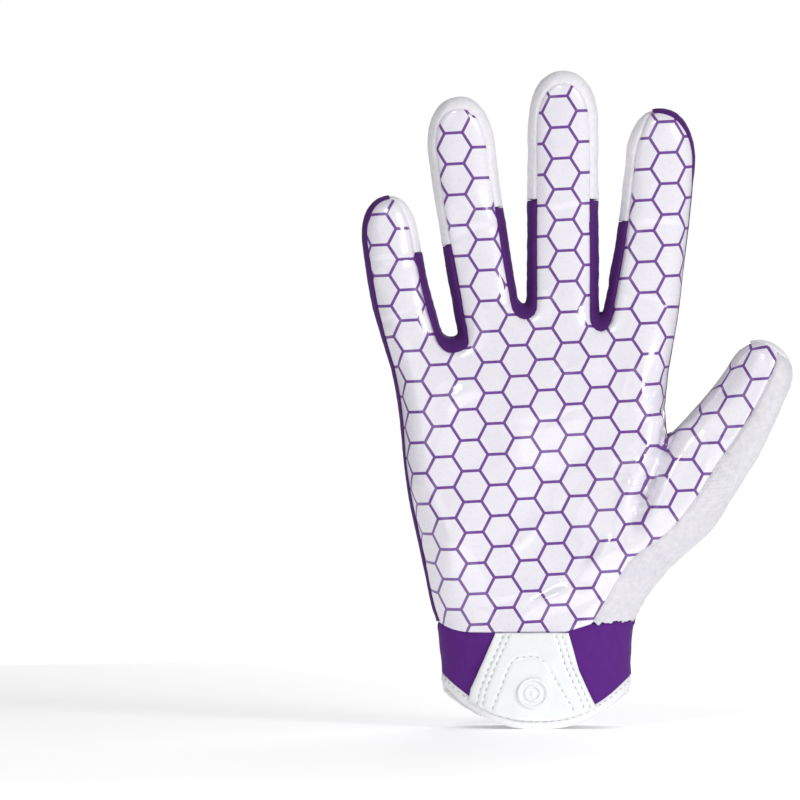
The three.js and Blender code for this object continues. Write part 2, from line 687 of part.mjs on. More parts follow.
// Outline of the strap's field or binding: along the lower edge, round the end, along the upper one
function strapOutline(column, reach) {
  const straight = evenly(9).map(f => mix(STRAP_ANGLES.sewn, STRAP_ANGLES.end, f)).map(cuffX);
  const endX = straight.at(-1);
  const lower = straight.map(x => [x, lookUp(STRAP_EDGES, x, column)]);
  const upper = straight.map(x => [x, lookUp(STRAP_EDGES, x, column + 1)]).reverse();
  const middle = (lower.at(-1)[1] + upper[0][1]) / 2;
  const half = (upper[0][1] - lower.at(-1)[1]) / 2;
  const end = evenly(8).slice(1, -1).map(f => {
    const angle = Math.PI * (f - 0.5);
    const power = 2 / STRAP_END.power;
    return [
      endX - reach * Math.cos(angle) ** power,
      middle + half * Math.sign(angle) * Math.abs(Math.sin(angle)) ** power,
    ];
  });
  return [...lower, ...end, ...upper];
}

function strap() {
  const edge = strapOutline(1, STRAP_END.reach);
  const count = Math.ceil(edge.length / 2);
  const rows = range(count).map(k => [edge[k], edge[edge.length - 1 - k]]);
  const patch = rows.map(([low, high]) => evenly(3).map(f => spot(mixPoint(low, high, f), 0)));
  return shell([patch], { lift: STRAP_CLEARANCE + STRAP_THICKNESS, wall: STRAP_THICKNESS });
}

function strapBinding() {
  const inner = strapOutline(1, STRAP_END.reach);
  const outer = strapOutline(3, STRAP_END.bindingReach);
  const patch = between(moved(inner, outer, SEAM_GAP), outer, evenly(2), 0);
  const wall = STRAP_THICKNESS + STRAP_BINDING_LIFT;
  return shell([patch], { lift: STRAP_CLEARANCE + wall, wall });
}

// White piping round the vent, from the strap's binding down one edge and up the other
// from and turn are shares of the back seam, drop lengthens the loop round the vent's end
const VENT_PIPING = { width: 3, thickness: 1.5, from: 0.22, turn: 0.43, drop: 2.1, tip: [0.5, 0.6] };
function ventBinding() {
  const side = way => evenly(6).map(f => along(ventEdge(way), mix(VENT_PIPING.from, VENT_PIPING.turn, f)));
  const [left, right] = [side(-1), side(1)];
  const aside = (edge, way) => edge.map(([x, z], k) => {
    const drop = VENT_PIPING.drop * (k / (edge.length - 1)) ** 2;
    return [x + way * VENT_PIPING.width, z + drop];
  });
  const inner = [...left, ...right.reverse()];
  const tip = mixPoint(left.at(-1), right[0], 0.5);
  const outer = [...aside(left, -1), ...aside(side(1), 1).reverse()];
  const [tipX, tipZ] = [tip[0], tip[1] + VENT_PIPING.tip[1]];
  inner.splice(left.length, 0, [tipX, tipZ]);
  outer.splice(left.length, 0, [tipX + VENT_PIPING.tip[0], tipZ + VENT_PIPING.width]);
  const wall = VENT_PIPING.thickness;
  return shell([between(inner, outer, evenly(1), 0)], { lift: SEAM_GAP + wall, wall });
}

const glove = new THREE.Group();
glove.add(mesh('palm_panel', palmPanel(), siliconePrint));
glove.add(mesh('back_panel', backPanel(), purpleSpandex));
glove.add(mesh('thumb_panel', thumbPanel(), whiteSuede));
range(3).forEach(gap => {
  const name = `gusset_${FINGERS[gap]}_${FINGERS[gap + 1]}`;
  glove.add(mesh(name, gusset(gap), purpleSpandex));
});
FINGERS.forEach(name => {
  glove.add(mesh(`tip_band_${name}`, tipBand(name), whiteSuede));
});

glove.add(mesh('cuff_band', cuffBand(), cuffNeoprene));
glove.add(mesh('cuff_binding', cuffBinding(), whiteBinding));
glove.add(mesh('wrist_tab', wristTab(), glossyTab));
glove.add(mesh('tab_disc', tabDisc(), glossyTab));
glove.add(mesh('closure_strap', strap(), strapNeoprene));
glove.add(mesh('strap_binding', strapBinding(), whiteBinding));
glove.add(mesh('vent_binding', ventBinding(), whiteBinding));

export default glove;
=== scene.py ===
# %% [markdown]
# A football glove, filled as if a hand were in it
#
# The glove stands on its cuff. Its palm is a glossy printed grip panel, its back a striped
# stretch knit, its thumb white suede, and a strap closes it round the wrist. Everything soft here
# is a thin shell, so each panel is made as a surface: a flat pattern piece, as a glove maker would
# cut it, lifted to the front or the back of the filled glove by one pair of formulas. The same
# formulas shaped the plain solids of the frame, so every dressed piece lies on its own solid.

# %% Load the frame
import json
import math
import bpy
import numpy as np
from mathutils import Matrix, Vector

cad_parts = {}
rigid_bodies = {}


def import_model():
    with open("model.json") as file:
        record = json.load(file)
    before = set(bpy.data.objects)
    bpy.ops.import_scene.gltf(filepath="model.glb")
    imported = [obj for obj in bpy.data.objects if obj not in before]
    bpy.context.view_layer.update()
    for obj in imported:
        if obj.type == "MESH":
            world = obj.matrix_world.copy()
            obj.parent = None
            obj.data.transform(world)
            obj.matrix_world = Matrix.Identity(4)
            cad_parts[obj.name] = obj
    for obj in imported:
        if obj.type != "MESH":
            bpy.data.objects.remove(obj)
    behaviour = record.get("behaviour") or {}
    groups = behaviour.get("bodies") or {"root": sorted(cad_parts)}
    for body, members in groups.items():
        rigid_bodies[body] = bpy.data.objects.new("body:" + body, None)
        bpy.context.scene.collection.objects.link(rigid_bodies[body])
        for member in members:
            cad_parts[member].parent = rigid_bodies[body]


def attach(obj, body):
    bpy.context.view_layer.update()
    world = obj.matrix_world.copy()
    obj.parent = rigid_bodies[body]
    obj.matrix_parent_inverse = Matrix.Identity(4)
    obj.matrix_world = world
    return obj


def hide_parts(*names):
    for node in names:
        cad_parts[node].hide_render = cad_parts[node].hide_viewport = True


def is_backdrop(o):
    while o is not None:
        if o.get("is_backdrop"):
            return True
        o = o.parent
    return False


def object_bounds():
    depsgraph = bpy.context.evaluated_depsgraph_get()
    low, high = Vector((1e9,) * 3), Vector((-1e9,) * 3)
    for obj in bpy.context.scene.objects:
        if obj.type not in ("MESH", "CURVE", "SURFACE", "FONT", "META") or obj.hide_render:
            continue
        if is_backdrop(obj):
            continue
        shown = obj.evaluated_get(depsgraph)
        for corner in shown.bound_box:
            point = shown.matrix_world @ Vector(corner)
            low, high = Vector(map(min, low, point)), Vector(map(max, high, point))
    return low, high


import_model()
cad_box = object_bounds()
MM = 0.001  # lengths below are millimetres, and a mesh is made in metres
print("frame box", [round(value, 4) for corner in cad_box for value in corner])

# %% [markdown]
# Camera
#
# The photograph was taken from far away with a long lens, straight at the palm. A long lens keeps
# near and far parts at one scale, so a pixel is worth the same length all over the glove. The
# camera stands a little to the side, because the glove fills only the right half of the picture.

# %% Camera
PIXEL = 0.36  # millimetres of the glove to a pixel of the photograph
PICTURE = 800
ORIGIN_PIXEL = (537, 727)  # where the middle of the cuff opening is in the photograph
CAMERA_DISTANCE = 2400
SENSOR = 36

camera = bpy.data.objects.new("camera", bpy.data.cameras.new("camera"))
bpy.context.scene.collection.objects.link(camera)
camera.data.sensor_width = SENSOR
camera.data.lens = SENSOR * CAMERA_DISTANCE / (PICTURE * PIXEL)
camera.location = (
    (PICTURE / 2 - ORIGIN_PIXEL[0]) * PIXEL * MM,
    -CAMERA_DISTANCE * MM,
    (ORIGIN_PIXEL[1] - PICTURE / 2) * PIXEL * MM,
)
camera.rotation_euler = (math.radians(90), 0, 0)
bpy.context.scene.camera = camera
print("lens", camera.data.lens)

# %% [markdown]
# Studio
#
# A white product picture has a bright surround, one large soft lamp that gives the cloth its
# modelling, and weaker lamps that keep the far side open. The lamp on the right is the strongest,
# as in the photograph, where the left side of the cuff is in shade. A small, bright lamp above
# gives the grip panel its glare: its mirror image shows on the upper flanks of the soft folds.

# %% Studio
WHITE = (1, 1, 1)
SURROUND_STRENGTH = 0.27  # what lights the glove
BACKING_STRENGTH = 1.0  # what the camera sees behind it
world = bpy.data.worlds.new("studio")
bpy.context.scene.world = world
world.use_nodes = True
sky = world.node_tree.nodes
surround = sky["Background"]
surround.inputs["Color"].default_value = (*WHITE, 1)
surround.inputs["Strength"].default_value = SURROUND_STRENGTH
backing = sky.new("ShaderNodeBackground")
backing.inputs["Color"].default_value = (*WHITE, 1)
backing.inputs["Strength"].default_value = BACKING_STRENGTH
seen = sky.new("ShaderNodeLightPath")
choice = sky.new("ShaderNodeMixShader")
links = world.node_tree.links
links.new(seen.outputs["Is Camera Ray"], choice.inputs[0])
links.new(surround.outputs[0], choice.inputs[1])
links.new(backing.outputs[0], choice.inputs[2])
links.new(choice.outputs[0], sky["World Output"].inputs["Surface"])
bpy.context.scene.view_settings.view_transform = "Standard"

# Lamps: name, place and size in metres, and power in watts
LAMPS = [
    ("key", (0.85, -0.9, 0.45), 0.5, 7.1),
    ("fill", (-0.6, -1.1, 0.5), 0.9, 1.5),
    ("back", (0.3, 1.1, 0.5), 0.8, 4.5),
    ("gloss", (-0.3, -0.9, 0.85), 0.26, 2.1),
]
AIM = np.array([0.01, 0, 0.12])
for name, place, size, power in LAMPS:
    lamp = bpy.data.objects.new(name, bpy.data.lights.new(name, "AREA"))
    bpy.context.scene.collection.objects.link(lamp)
    lamp.data.shape = "DISK"
    lamp.data.size = size
    lamp.data.energy = power
    lamp.location = place
    towards = Vector(AIM - np.array(place))
    lamp.rotation_euler = towards.to_track_quat("-Z", "Y").to_euler()

# %% [markdown]
# Shared tools
#
# Every shape below is worked out as whole arrays of numbers. These small functions mix and ease
# numbers, spread shares over a width, and measure or follow a line of points.

# %% Small tools
SPREAD_POWER = 1.6


def mix(a, b, f):
    """a at f = 0, b at f = 1, straight in between."""
    return a + (b - a) * f


def share_over(value, span):
    """0 before the span, 1 after it, rising straight inside it."""
    return np.clip((value - span[0]) / (span[1] - span[0]), 0, 1)


def ease(f):
    """f from 0 to 1 with a level start and end: 3 f squared less 2 f cubed."""
    f = np.clip(f, 0, 1)
    return f * f * (3 - 2 * f)


def ease_over(value, span):
    """share_over with a level start and end."""
    return ease(share_over(value, span))


def evenly(count):
    """Shares from 0 to 1 in equal steps."""
    return np.linspace(0, 1, count + 1)


def towards_end(count):
    """Shares from 0 to 1 whose steps get smaller towards 1, by a power."""
    return 1 - (1 - evenly(count)) ** SPREAD_POWER


def towards_start(count):
    """Shares from 0 to 1 whose steps get smaller towards 0, by a power."""
    return evenly(count) ** SPREAD_POWER


def towards_both(count, amount=0.55):
    """Shares from 0 to 1 whose steps get smaller towards both ends: an amount of the ease curve
    mixed into the even steps."""
    return mix(evenly(count), ease(evenly(count)), amount)


def unit(vectors):
    """Vectors divided by their length, along the last axis."""
    return vectors / np.linalg.norm(vectors, axis=-1, keepdims=True)


def walked(line):
    """Length along a line of points, from its first point to each of them."""
    return np.concatenate([[0], np.linalg.norm(np.diff(line, axis=0), axis=1).cumsum()])


def along(table, f):
    """Smooth curve through a table's rows at shares f of its length in rows: between two rows a
    cubic, whose slope at a row is half the step from the row before it to the row after it."""
    rows = np.asarray(table, float)
    last = len(rows) - 1
    place = np.atleast_1d(f) * last
    k = np.clip(np.floor(place).astype(int), 0, last - 1)
    t = (place - k)[:, None]
    a, b, c, d = (rows[np.clip(k + step, 0, last)] for step in (-1, 0, 1, 2))
    slope_b, slope_c = (c - a) / 2, (d - b) / 2
    cubic = (3 * (c - b) - 2 * slope_b - slope_c) * t**2
    return b + slope_b * t + cubic + (2 * (b - c) + slope_b + slope_c) * t**3


# %% [markdown]
# The hand's outline
#
# A glove maker starts from the flat outline of a hand. Here each finger is a straight tube that
# tapers, bows a little and ends in a rounded tip, and tables of points give the sides of the palm.
# A panel's edge on a finger follows the same rule as the outline, at a smaller share of the width.

# %% Sizes of the hand
ROUNDNESS = 2.3
ROWS = 9  # rows of a fine mesh for each row of the plain solid
PALM_ROWS, FORK_ROW = 13, 9
GAP_SHARES = [0, 0.16, 0.5, 1, 1.6]
STRAIGHT_ROWS = 4
TIP_ANGLES = [0, 30, 54, 73, 85, 90]
DIGIT_END = STRAIGHT_ROWS + len(TIP_ANGLES) - 1  # row of the top of a tip
DIGIT_ROWS = np.linspace(0, DIGIT_END, DIGIT_END * ROWS + 1)
# Digits: root and tip of the middle line, half widths, length of the tip, bow, first straight row
DIGITS = {
    "pinky": ((-43.6, 136), (-54.4, 190.6), 10.8, 10.1, 1.6, -1.5, 0.3),
    "ring": ((-17.8, 148.5), (-29.4, 226.2), 11.7, 12.1, 1.65, -0.8, 0.2),
    "middle": ((9.3, 150), (9.1, 235.6), 13.0, 12.7, 1.7, 0, 0.17),
    "index": ((36.6, 147), (44.8, 221.6), 13.2, 12.3, 1.65, 1.5, 0.17),
    "thumb": ((63, 100), (84.9, 136.9), 14.9, 11.9, 1.25, 1.3, 0),
}
FINGERS = ["pinky", "ring", "middle", "index"]
GAPS = np.array([[-31.3, 140.4], [-4.7, 152.6], [22.7, 148.3]])
THUMB_FORK = (46.8, 104.8)
LITTLE_SIDE = [
    (-35.8, 38.2), (-38.5, 47.5), (-43.6, 72.7), (-47.4, 93), (-49.2, 112), (-51.6, 126.5),
]
INDEX_SIDE = [THUMB_FORK, (45.9, 113), (46.6, 124), (48.4, 136)]
THUMB_SIDE = [
    (34.9, 38.5), (39.6, 47), (47.2, 56.5), (55.8, 64.4), (65.2, 74.5), (72.4, 85.3),
]
THENAR_FOLD = [(9.5, 34.6), (22, 55), (33, 73), (40.5, 90), THUMB_FORK]
SUEDE_SEAM = [
    (19.1, 37.6), (24.5, 46.4), (33.5, 60.5), (46.1, 70.2), (55.5, 81.5), (63.2, 93.5),
]
BACK_SEAM = [(28.5, 33), (33.5, 46), (38.2, 58), (43, 77), (46, 93), THUMB_FORK]
PALM_BORDERS, BACK_BORDERS = [-24, -12, 0], [-18, -3, 12]
WRIST_SEAM = [(-35.4, 38.2), (-28, 34.6), (9.5, 34.6), (19.1, 37.6), (34.4, 38.5)]
BACK_WRIST_SEAM = [(-35.4, 38.2), (-29, 33), (30.2, 33), (34.4, 38.5)]
CUFF_SIDES = [(-40, -33.5, 33.5), (10, -33.5, 33.5), (24, -34.4, 33.6), (38.4, -35.8, 34.9)]
SEAM_GAP = 0.3
# How far a panel reaches on the fingers: share of the half width, share of the tip, drop below the
# gap, rounding there, and whether it closes over the one-sided tips
FRONT = (0.75, 0.77, 5.8, 4.6, True)
BACK = (0.88, 0.97, 3.2, 4.6, False)
RIM = (1, 1, 0, 2.4, False)
OUTER_SIDE = {"pinky": -1, "index": 1}
OUTER_START = 0.6
CLOSING_ANGLES = (35, 85)


# %% Edges on a finger
def digit_point(name, a, c):
    """Point of the plane at share a of a digit's length and c half widths to its right. The half
    width tapers straight to the start of the tip, and the bow is a parabola along the length."""
    root, tip, root_half, tip_half, rounding, bow, _ = DIGITS[name]
    root, tip = np.array(root, float), np.array(tip, float)
    length = np.hypot(*(tip - root))
    up = (tip - root) / length
    right = np.array([up[1], -up[0]])
    tip_start = 1 - rounding * tip_half / length
    half = mix(root_half, tip_half, np.clip(a / tip_start, 0, 1))
    across = bow * 4 * a * (1 - a) + c * half
    return root + np.outer(a * length, up) + np.outer(across, right)


def digit_rows(name, side, rows, reach, tip_reach, closes=False, outer=False):
    """Edge of a panel on a digit. rows runs from 0, the first straight row, over the straight
    part to the tip, whose outline is an ellipse of a higher power: c and rise are powers of the
    cosine and sine of an angle that goes from 0 at the tip's start to 90 degrees at its top."""
    _, _, _, tip_half, rounding, _, first = DIGITS[name]
    root, tip = (np.array(point, float) for point in DIGITS[name][:2])
    tip_start = 1 - rounding * tip_half / np.hypot(*(tip - root))
    angle = np.interp(rows, STRAIGHT_ROWS + np.arange(len(TIP_ANGLES)), TIP_ANGLES)
    closing = ease_over(angle, CLOSING_ANGLES) if closes and name in OUTER_SIDE else 0
    reach = 1 if outer else mix(reach, 1, closing)
    tip_reach = 1 if outer else mix(tip_reach, 1, closing)
    turn = np.radians(angle)
    c = side * reach * np.cos(turn).clip(0) ** (2 / ROUNDNESS)
    rise = tip_reach * np.sin(turn) ** (2 / ROUNDNESS)
    straight = mix(first, tip_start, np.clip(rows / STRAIGHT_ROWS, 0, 1))
    return digit_point(name, np.where(rows < STRAIGHT_ROWS, straight, mix(tip_start, 1, rise)), c)


def finger_edge(name, side, panel):
    """One side of a finger's panel from the gap to the top of the tip, as fine rows. In the gap
    the edge turns up from the gap's lowest point into the finger's side on a quarter arc. The
    outer sides of the little and the index finger run straight up from the palm instead."""
    reach, tip_reach, drop, rounding, closes = panel
    gap_rows = len(GAP_SHARES)
    outer = OUTER_SIDE.get(name) == side
    upper = digit_rows(name, side, DIGIT_ROWS, reach, tip_reach, closes, outer)
    rows = np.arange(gap_rows * ROWS) / ROWS
    if outer:
        below = np.array(LITTLE_SIDE[-1] if side < 0 else INDEX_SIDE[-1])
        share = (rows + OUTER_START) / (gap_rows + OUTER_START)
        return np.vstack([mix(below, upper[0], share[:, None]), upper])
    gap = GAPS[FINGERS.index(name) + (0 if side > 0 else -1)]
    root, tip, root_half = (np.array(value, float) for value in DIGITS[name][:3])
    length = np.hypot(*(tip - root))
    up = (tip - root) / length
    arc = np.where(rows < 1, GAP_SHARES[1] * rows**2, np.interp(rows, range(gap_rows), GAP_SHARES))
    z = gap[1] - drop + arc * rounding
    rise = (z - root[1] + up[0] * side * reach * root_half) / (up[1] * length)
    x = digit_point(name, rise, side * reach)[:, 0]
    quarter = np.sqrt(1 - (1 - np.clip(arc, 0, 1)) ** 2)
    lower = np.stack([mix(gap[0], x, quarter), z], 1)
    last = (gap_rows - 1) * ROWS
    lower[last:] = mix(lower[last], upper[0], (rows[last:] - rows[last])[:, None])
    return np.vstack([lower, upper])


def finger_edges(panel):
    """Both sides of all four fingers, by the finger's name and the side."""
    return {(name, side): finger_edge(name, side, panel) for name in FINGERS for side in (-1, 1)}


def thumb_edge(side, reach, tip_reach, start):
    """One side of the thumb from a start point at its fork or seam to the top of its tip."""
    edge = digit_rows("thumb", side, DIGIT_ROWS, reach, tip_reach)
    ahead = np.vstack([start, edge[0], edge[ROWS]])
    return np.vstack([along(ahead, np.arange(ROWS) / ROWS / 2), edge])


def palm_edge(table, finger_start):
    """Side of the palm below a finger: a smooth curve through the table, whose last row is
    stretched to where the finger's own edge starts."""
    rows = np.arange(PALM_ROWS * ROWS) / ROWS
    edge = along(table, rows / PALM_ROWS)
    last = (PALM_ROWS - 1) * ROWS
    edge[last:] = mix(edge[last], finger_start, (rows[last:] - rows[last])[:, None])
    return edge


def index_edge(lower, finger_start):
    """Right edge of the index finger's strip: a table up to the fork, then the side of the palm."""
    rows = np.arange((PALM_ROWS - FORK_ROW) * ROWS) / ROWS
    side = along(INDEX_SIDE, rows / (PALM_ROWS - FORK_ROW))
    last = (PALM_ROWS - FORK_ROW - 1) * ROWS
    side[last:] = mix(side[last], finger_start, (rows[last:] - rows[last])[:, None])
    return np.vstack([along(lower, np.arange(FORK_ROW * ROWS) / ROWS / FORK_ROW), side])


def fork_rows(table):
    """A table's curve from the cuff to the fork, as fine rows."""
    return along(table, np.linspace(0, 1, FORK_ROW * ROWS + 1))


# %% The outline
edges = finger_edges(RIM)
little_rim = palm_edge(LITTLE_SIDE, edges["pinky", -1][0])
index_rim = index_edge(THENAR_FOLD, edges["index", 1][0])[FORK_ROW * ROWS:]
thumb_inner_rim = thumb_edge(-1, 1, 1, THUMB_FORK)
thumb_outer_rim = thumb_edge(1, 1, 1, THUMB_SIDE[-1])
thumb_side = fork_rows(THUMB_SIDE)
cuff_left = [(left, z) for z, left, _ in CUFF_SIDES[:-1]]
cuff_right = [(right, z) for z, _, right in CUFF_SIDES[:-1]]
finger_rims = [half for name in FINGERS
               for half in (edges[name, -1], edges[name, 1][::-1][1:])]
OUTLINE = np.vstack([
    cuff_left, little_rim, *finger_rims, index_rim[::-1], thumb_inner_rim[1:],
    thumb_outer_rim[::-1][1:], thumb_side[::-1][1:], cuff_right[::-1],
])
print("outline points", len(OUTLINE))

# %% [markdown]
# From the flat outline to the filled glove
#
# A filled finger is round: its wall stands square on the outline and lies flat in the middle. So
# the height over a point of the plane depends on the distance to the outline, rounded off by a
# power curve, times a depth that changes from the wrist to the fingertips. The distance has a
# crease along the middle of each finger, and the crease would show in the gloss, so the inner
# part of the distance is blurred first.

# %% Sizes of the filled form
WRIST_DEPTH, PALM_DEPTH, FINGER_DEPTH, TIP_DEPTH, THUMB_DEPTH = 17.5, 14, 9.6, 8.2, 10.5
# Heights over which one depth goes over into the next, and where the thumb's own depth begins
WRIST_TO_PALM, PALM_TO_FINGER, FINGER_TO_TIP = (24, 86), (112, 156), (150, 230)
THUMB_FROM_X, THUMB_FROM_Z = (50, 68), (70, 100)
FINGER_CURL = (13, 122, 114, 1.7)  # amount, height from, over, power
THUMB_REACH = 12
REACH_X, REACH_Z, REACH_END = (42, 92), (50, 110), (175, 145)
# Swellings: centre x, z, size, height. A negative one is a hollow.
FRONT_PADS = [(46, 78, 20, 5.5), (8, 88, 18, -2.5), (-30, 72, 18, 2.6), (-5, 128, 22, 1.2)]
BACK_PADS = [(-2, 138, 30, 1.5)]
FOLD_DEPTH, FOLD_HALF_WIDTH, FOLD_FROM_Z = 3.6, 4.2, (58, 83)
CUFF_HALF_WIDTH = 33.5
# Rounding of the fingers: in their middle, at which x that is, and its loss for each square mm
FINGER_ROUNDING, ROUNDING_MIDDLE, ROUNDING_LOSS = 12.4, 20, 0.0005
ROUNDING_FROM_Z = (26, 88)
BLOCK = 400  # points whose distances are worked out at a time


def distance_to(line, points):
    """Distance of points from a line of points, in two or three dimensions: the least distance
    to any of its straight pieces. The points are taken in blocks, and a block leaves out the
    pieces that are too far from the circle round it to be the nearest."""
    line, points = np.asarray(line, float), np.asarray(points, float)
    start, step = line[:-1], np.diff(line, axis=0)
    size = (step**2).sum(1).clip(1e-9)
    result = np.empty(len(points))
    for first in range(0, len(points), BLOCK):
        part = points[first:first + BLOCK]
        centre = part.mean(0)
        reach = np.sqrt(((part - centre) ** 2).sum(1).max())
        away = np.sqrt(((start - centre) ** 2).sum(1))
        near = away - np.sqrt(size) <= away.min() + 2 * reach
        gap = part[:, None] - start[near]
        t = ((gap * step[near]).sum(2) / size[near]).clip(0, 1)
        gap -= t[..., None] * step[near]
        result[first:first + BLOCK] = np.sqrt((gap**2).sum(2).min(1))
    return result


def rounding_at(x, z):
    """Distance over which the wall rounds off: the cuff's half width, then a finger's, which is
    less by a square towards the outer fingers."""
    finger = FINGER_ROUNDING - ROUNDING_LOSS * (x - ROUNDING_MIDDLE) ** 2
    return mix(CUFF_HALF_WIDTH, finger, ease_over(z, ROUNDING_FROM_Z))


# %% Blurred distance field
CELL = 0.8
GRID_X = np.arange(-66, 98, CELL)
GRID_Z = np.arange(-16, 244, CELL)
BLUR = 2.0  # cells
EXACT_SHARES = (0.3, 0.55)  # share of the rounding where the exact distance gives way to the blurred


def blurred(field, width):
    """The field averaged with a bell curve of that width in cells, along both directions."""
    reach = int(3 * width)
    bell = np.exp(-0.5 * (np.arange(-reach, reach + 1) / width) ** 2)
    bell /= bell.sum()
    for axis in (0, 1):
        padded = np.pad(field, [(reach, reach) if k == axis else (0, 0) for k in (0, 1)], "edge")
        size = field.shape[axis]
        parts = [weight * padded.take(range(k, k + size), axis) for k, weight in enumerate(bell)]
        field = sum(parts)
    return field


grid = np.stack(np.meshgrid(GRID_X, GRID_Z, indexing="ij"), 2)
flat_grid = grid.reshape(-1, 2)
grid_share = distance_to(OUTLINE[::3], flat_grid) / rounding_at(flat_grid[:, 0], flat_grid[:, 1])
soft_share = blurred(grid_share.clip(0, 1).reshape(grid.shape[:2]), BLUR)


def sample(field, x, z):
    """The field between its cells: a cubic through four cells along x, and then along z."""
    def weights(t):
        return [
            0.5 * (-t + 2 * t**2 - t**3), 0.5 * (2 - 5 * t**2 + 3 * t**3),
            0.5 * (t + 4 * t**2 - 3 * t**3), 0.5 * (t**3 - t**2),
        ]
    place_x, place_z = (x - GRID_X[0]) / CELL, (z - GRID_Z[0]) / CELL
    i = np.clip(np.floor(place_x).astype(int), 1, len(GRID_X) - 3)
    j = np.clip(np.floor(place_z).astype(int), 1, len(GRID_Z) - 3)
    across, up = weights(place_x - i), weights(place_z - j)
    return sum(across[a] * up[b] * field[i + a - 1, j + b - 1] for a in range(4) for b in range(4))


FOLD_LINE = along(THENAR_FOLD, np.linspace(0.45, 1, 60))  # the upper part of the thumb's fold


def depth_at(x, z, front):
    """Half thickness of the filled glove: wrist, palm, finger and thumb values eased into each
    other, plus the swellings of that side, less the fold beside the ball of the thumb."""
    palm = mix(WRIST_DEPTH, PALM_DEPTH, ease_over(z, WRIST_TO_PALM))
    finger = mix(FINGER_DEPTH, TIP_DEPTH, share_over(z, FINGER_TO_TIP))
    thumb = ease_over(x, THUMB_FROM_X) * ease_over(z, THUMB_FROM_Z)
    base = mix(mix(palm, finger, ease_over(z, PALM_TO_FINGER)), THUMB_DEPTH, thumb)

    def swelling(pads):
        return sum(h * np.exp(-((x - px) ** 2 + (z - pz) ** 2) / s**2) for px, pz, s, h in pads)
    fold_distance = distance_to(FOLD_LINE, np.stack([x, z], 1))
    fold = FOLD_DEPTH * np.exp(-((fold_distance / FOLD_HALF_WIDTH) ** 2))
    fold *= ease_over(z, FOLD_FROM_Z)
    return base + np.where(front, swelling(FRONT_PADS) - fold, swelling(BACK_PADS))


def middle_y(x, z):
    """Middle surface: the fingers curl and the thumb reaches towards the palm's side."""
    amount, start, over, power = FINGER_CURL
    curl = amount * share_over(z, (start, start + over)) ** power
    reach = ease_over(x, REACH_X) * ease_over(z, REACH_Z) * ease_over(z, REACH_END)
    return -curl - THUMB_REACH * reach


def lifted(x, z, front):
    """Points on the filled glove over points of the plane, as an array of x, y, z. Close to the
    outline the exact distance counts, and further in the blurred one."""
    shape = np.shape(x)
    x, z, front = (np.broadcast_to(value, shape).ravel().astype(float) for value in (x, z, front))
    exact = (distance_to(OUTLINE, np.stack([x, z], 1)) / rounding_at(x, z)).clip(0, 1)
    share = mix(exact, sample(soft_share, x, z).clip(0, 1), ease_over(exact, EXACT_SHARES))
    profile = (1 - (1 - share) ** ROUNDNESS) ** (1 / ROUNDNESS)
    y = middle_y(x, z) + np.where(front > 0, -1, 1) * depth_at(x, z, front > 0) * profile
    return np.stack([x, y, z], 1).reshape(*shape, 3)


# %% [markdown]
# Turning surfaces into pieces
#
# A pattern piece is one or more grids of points. Grids that share an edge are sewn into one mesh by
# merging equal points. The cloth's thickness comes from a Solidify modifier that grows inwards, and
# relief, such as seams that roll in and soft creases, moves the points along the mesh's own
# directions before that. A UV map holds the unrolled cloth, measured along the surface, so a print
# keeps its size where the panel turns round a finger.

# %% Mesh tools
UV_SCALE = 0.01  # units of the UV map to a millimetre of cloth


def quads_of(rows, columns, first=0):
    """Corner numbers of the squares of a grid of points that is stored row by row."""
    corner = first + np.arange(rows * columns).reshape(rows, columns)
    square = [corner[:-1, :-1], corner[:-1, 1:], corner[1:, 1:], corner[1:, :-1]]
    return np.stack(square, 2).reshape(-1, 4)


def turned_out(points, quads, outward):
    """The squares, turned round where they face against the outward directions on the whole."""
    a, b, c, d = (points[quads[:, k]] for k in range(4))
    side = np.cross(c - a, d - b)
    return quads[:, ::-1] if (side * outward[quads].mean(1)).sum() < 0 else quads


def make_piece(name, grids, finish, nodes=(), wall=None, relief=None):
    """One mesh from several grids. A grid is (points, outward, uv): arrays of rows x columns x 3, 3
    and 2. Equal points are merged, and a square that has lost a corner becomes a triangle."""
    points = np.vstack([grid[0].reshape(-1, 3) for grid in grids])
    uv = np.vstack([grid[2].reshape(-1, 2) for grid in grids])
    quads, first = [], 0
    for grid_points, outward, _ in grids:
        rows, columns = grid_points.shape[:2]
        local = quads_of(rows, columns)
        flat = grid_points.reshape(-1, 3)
        quads.append(first + turned_out(flat, local, outward.reshape(-1, 3)))
        first += rows * columns
    quads = np.vstack(quads)
    _, kept, merged = np.unique(np.round(points, 3), axis=0, return_index=True, return_inverse=True)
    merged = merged.ravel()
    corner = merged[quads]
    keep = corner != np.roll(corner, 1, axis=1)
    good = keep.sum(1) > 2
    keep, corner, quads = keep[good], corner[good], quads[good]
    faces = np.split(corner[keep], keep.sum(1).cumsum()[:-1])
    mesh = bpy.data.meshes.new(name)
    mesh.from_pydata((points[kept] * MM).tolist(), [], [face.tolist() for face in faces])
    layer = mesh.uv_layers.new(name="cloth")
    layer.data.foreach_set("uv", uv[quads[keep]].ravel() * UV_SCALE)
    mesh.update()
    if relief is not None:
        directions = np.empty(len(kept) * 3, np.float32)
        mesh.vertices.foreach_get("normal", directions)
        moved = points[kept] + directions.reshape(-1, 3) * relief(points[kept])[:, None]
        mesh.vertices.foreach_set("co", (moved * MM).ravel())
        mesh.update()
    mesh.polygons.foreach_set("use_smooth", np.ones(len(mesh.polygons), bool))
    piece = bpy.data.objects.new(name, mesh)
    bpy.context.scene.collection.objects.link(piece)
    mesh.materials.append(finish)
    if wall:
        solid = piece.modifiers.new("wall", "SOLIDIFY")
        solid.thickness = wall * MM
        solid.offset = -1
    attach(piece, "root")
    if nodes:
        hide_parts(*nodes)
    print(name, len(mesh.vertices), "points,", len(mesh.polygons), "faces")
    return piece


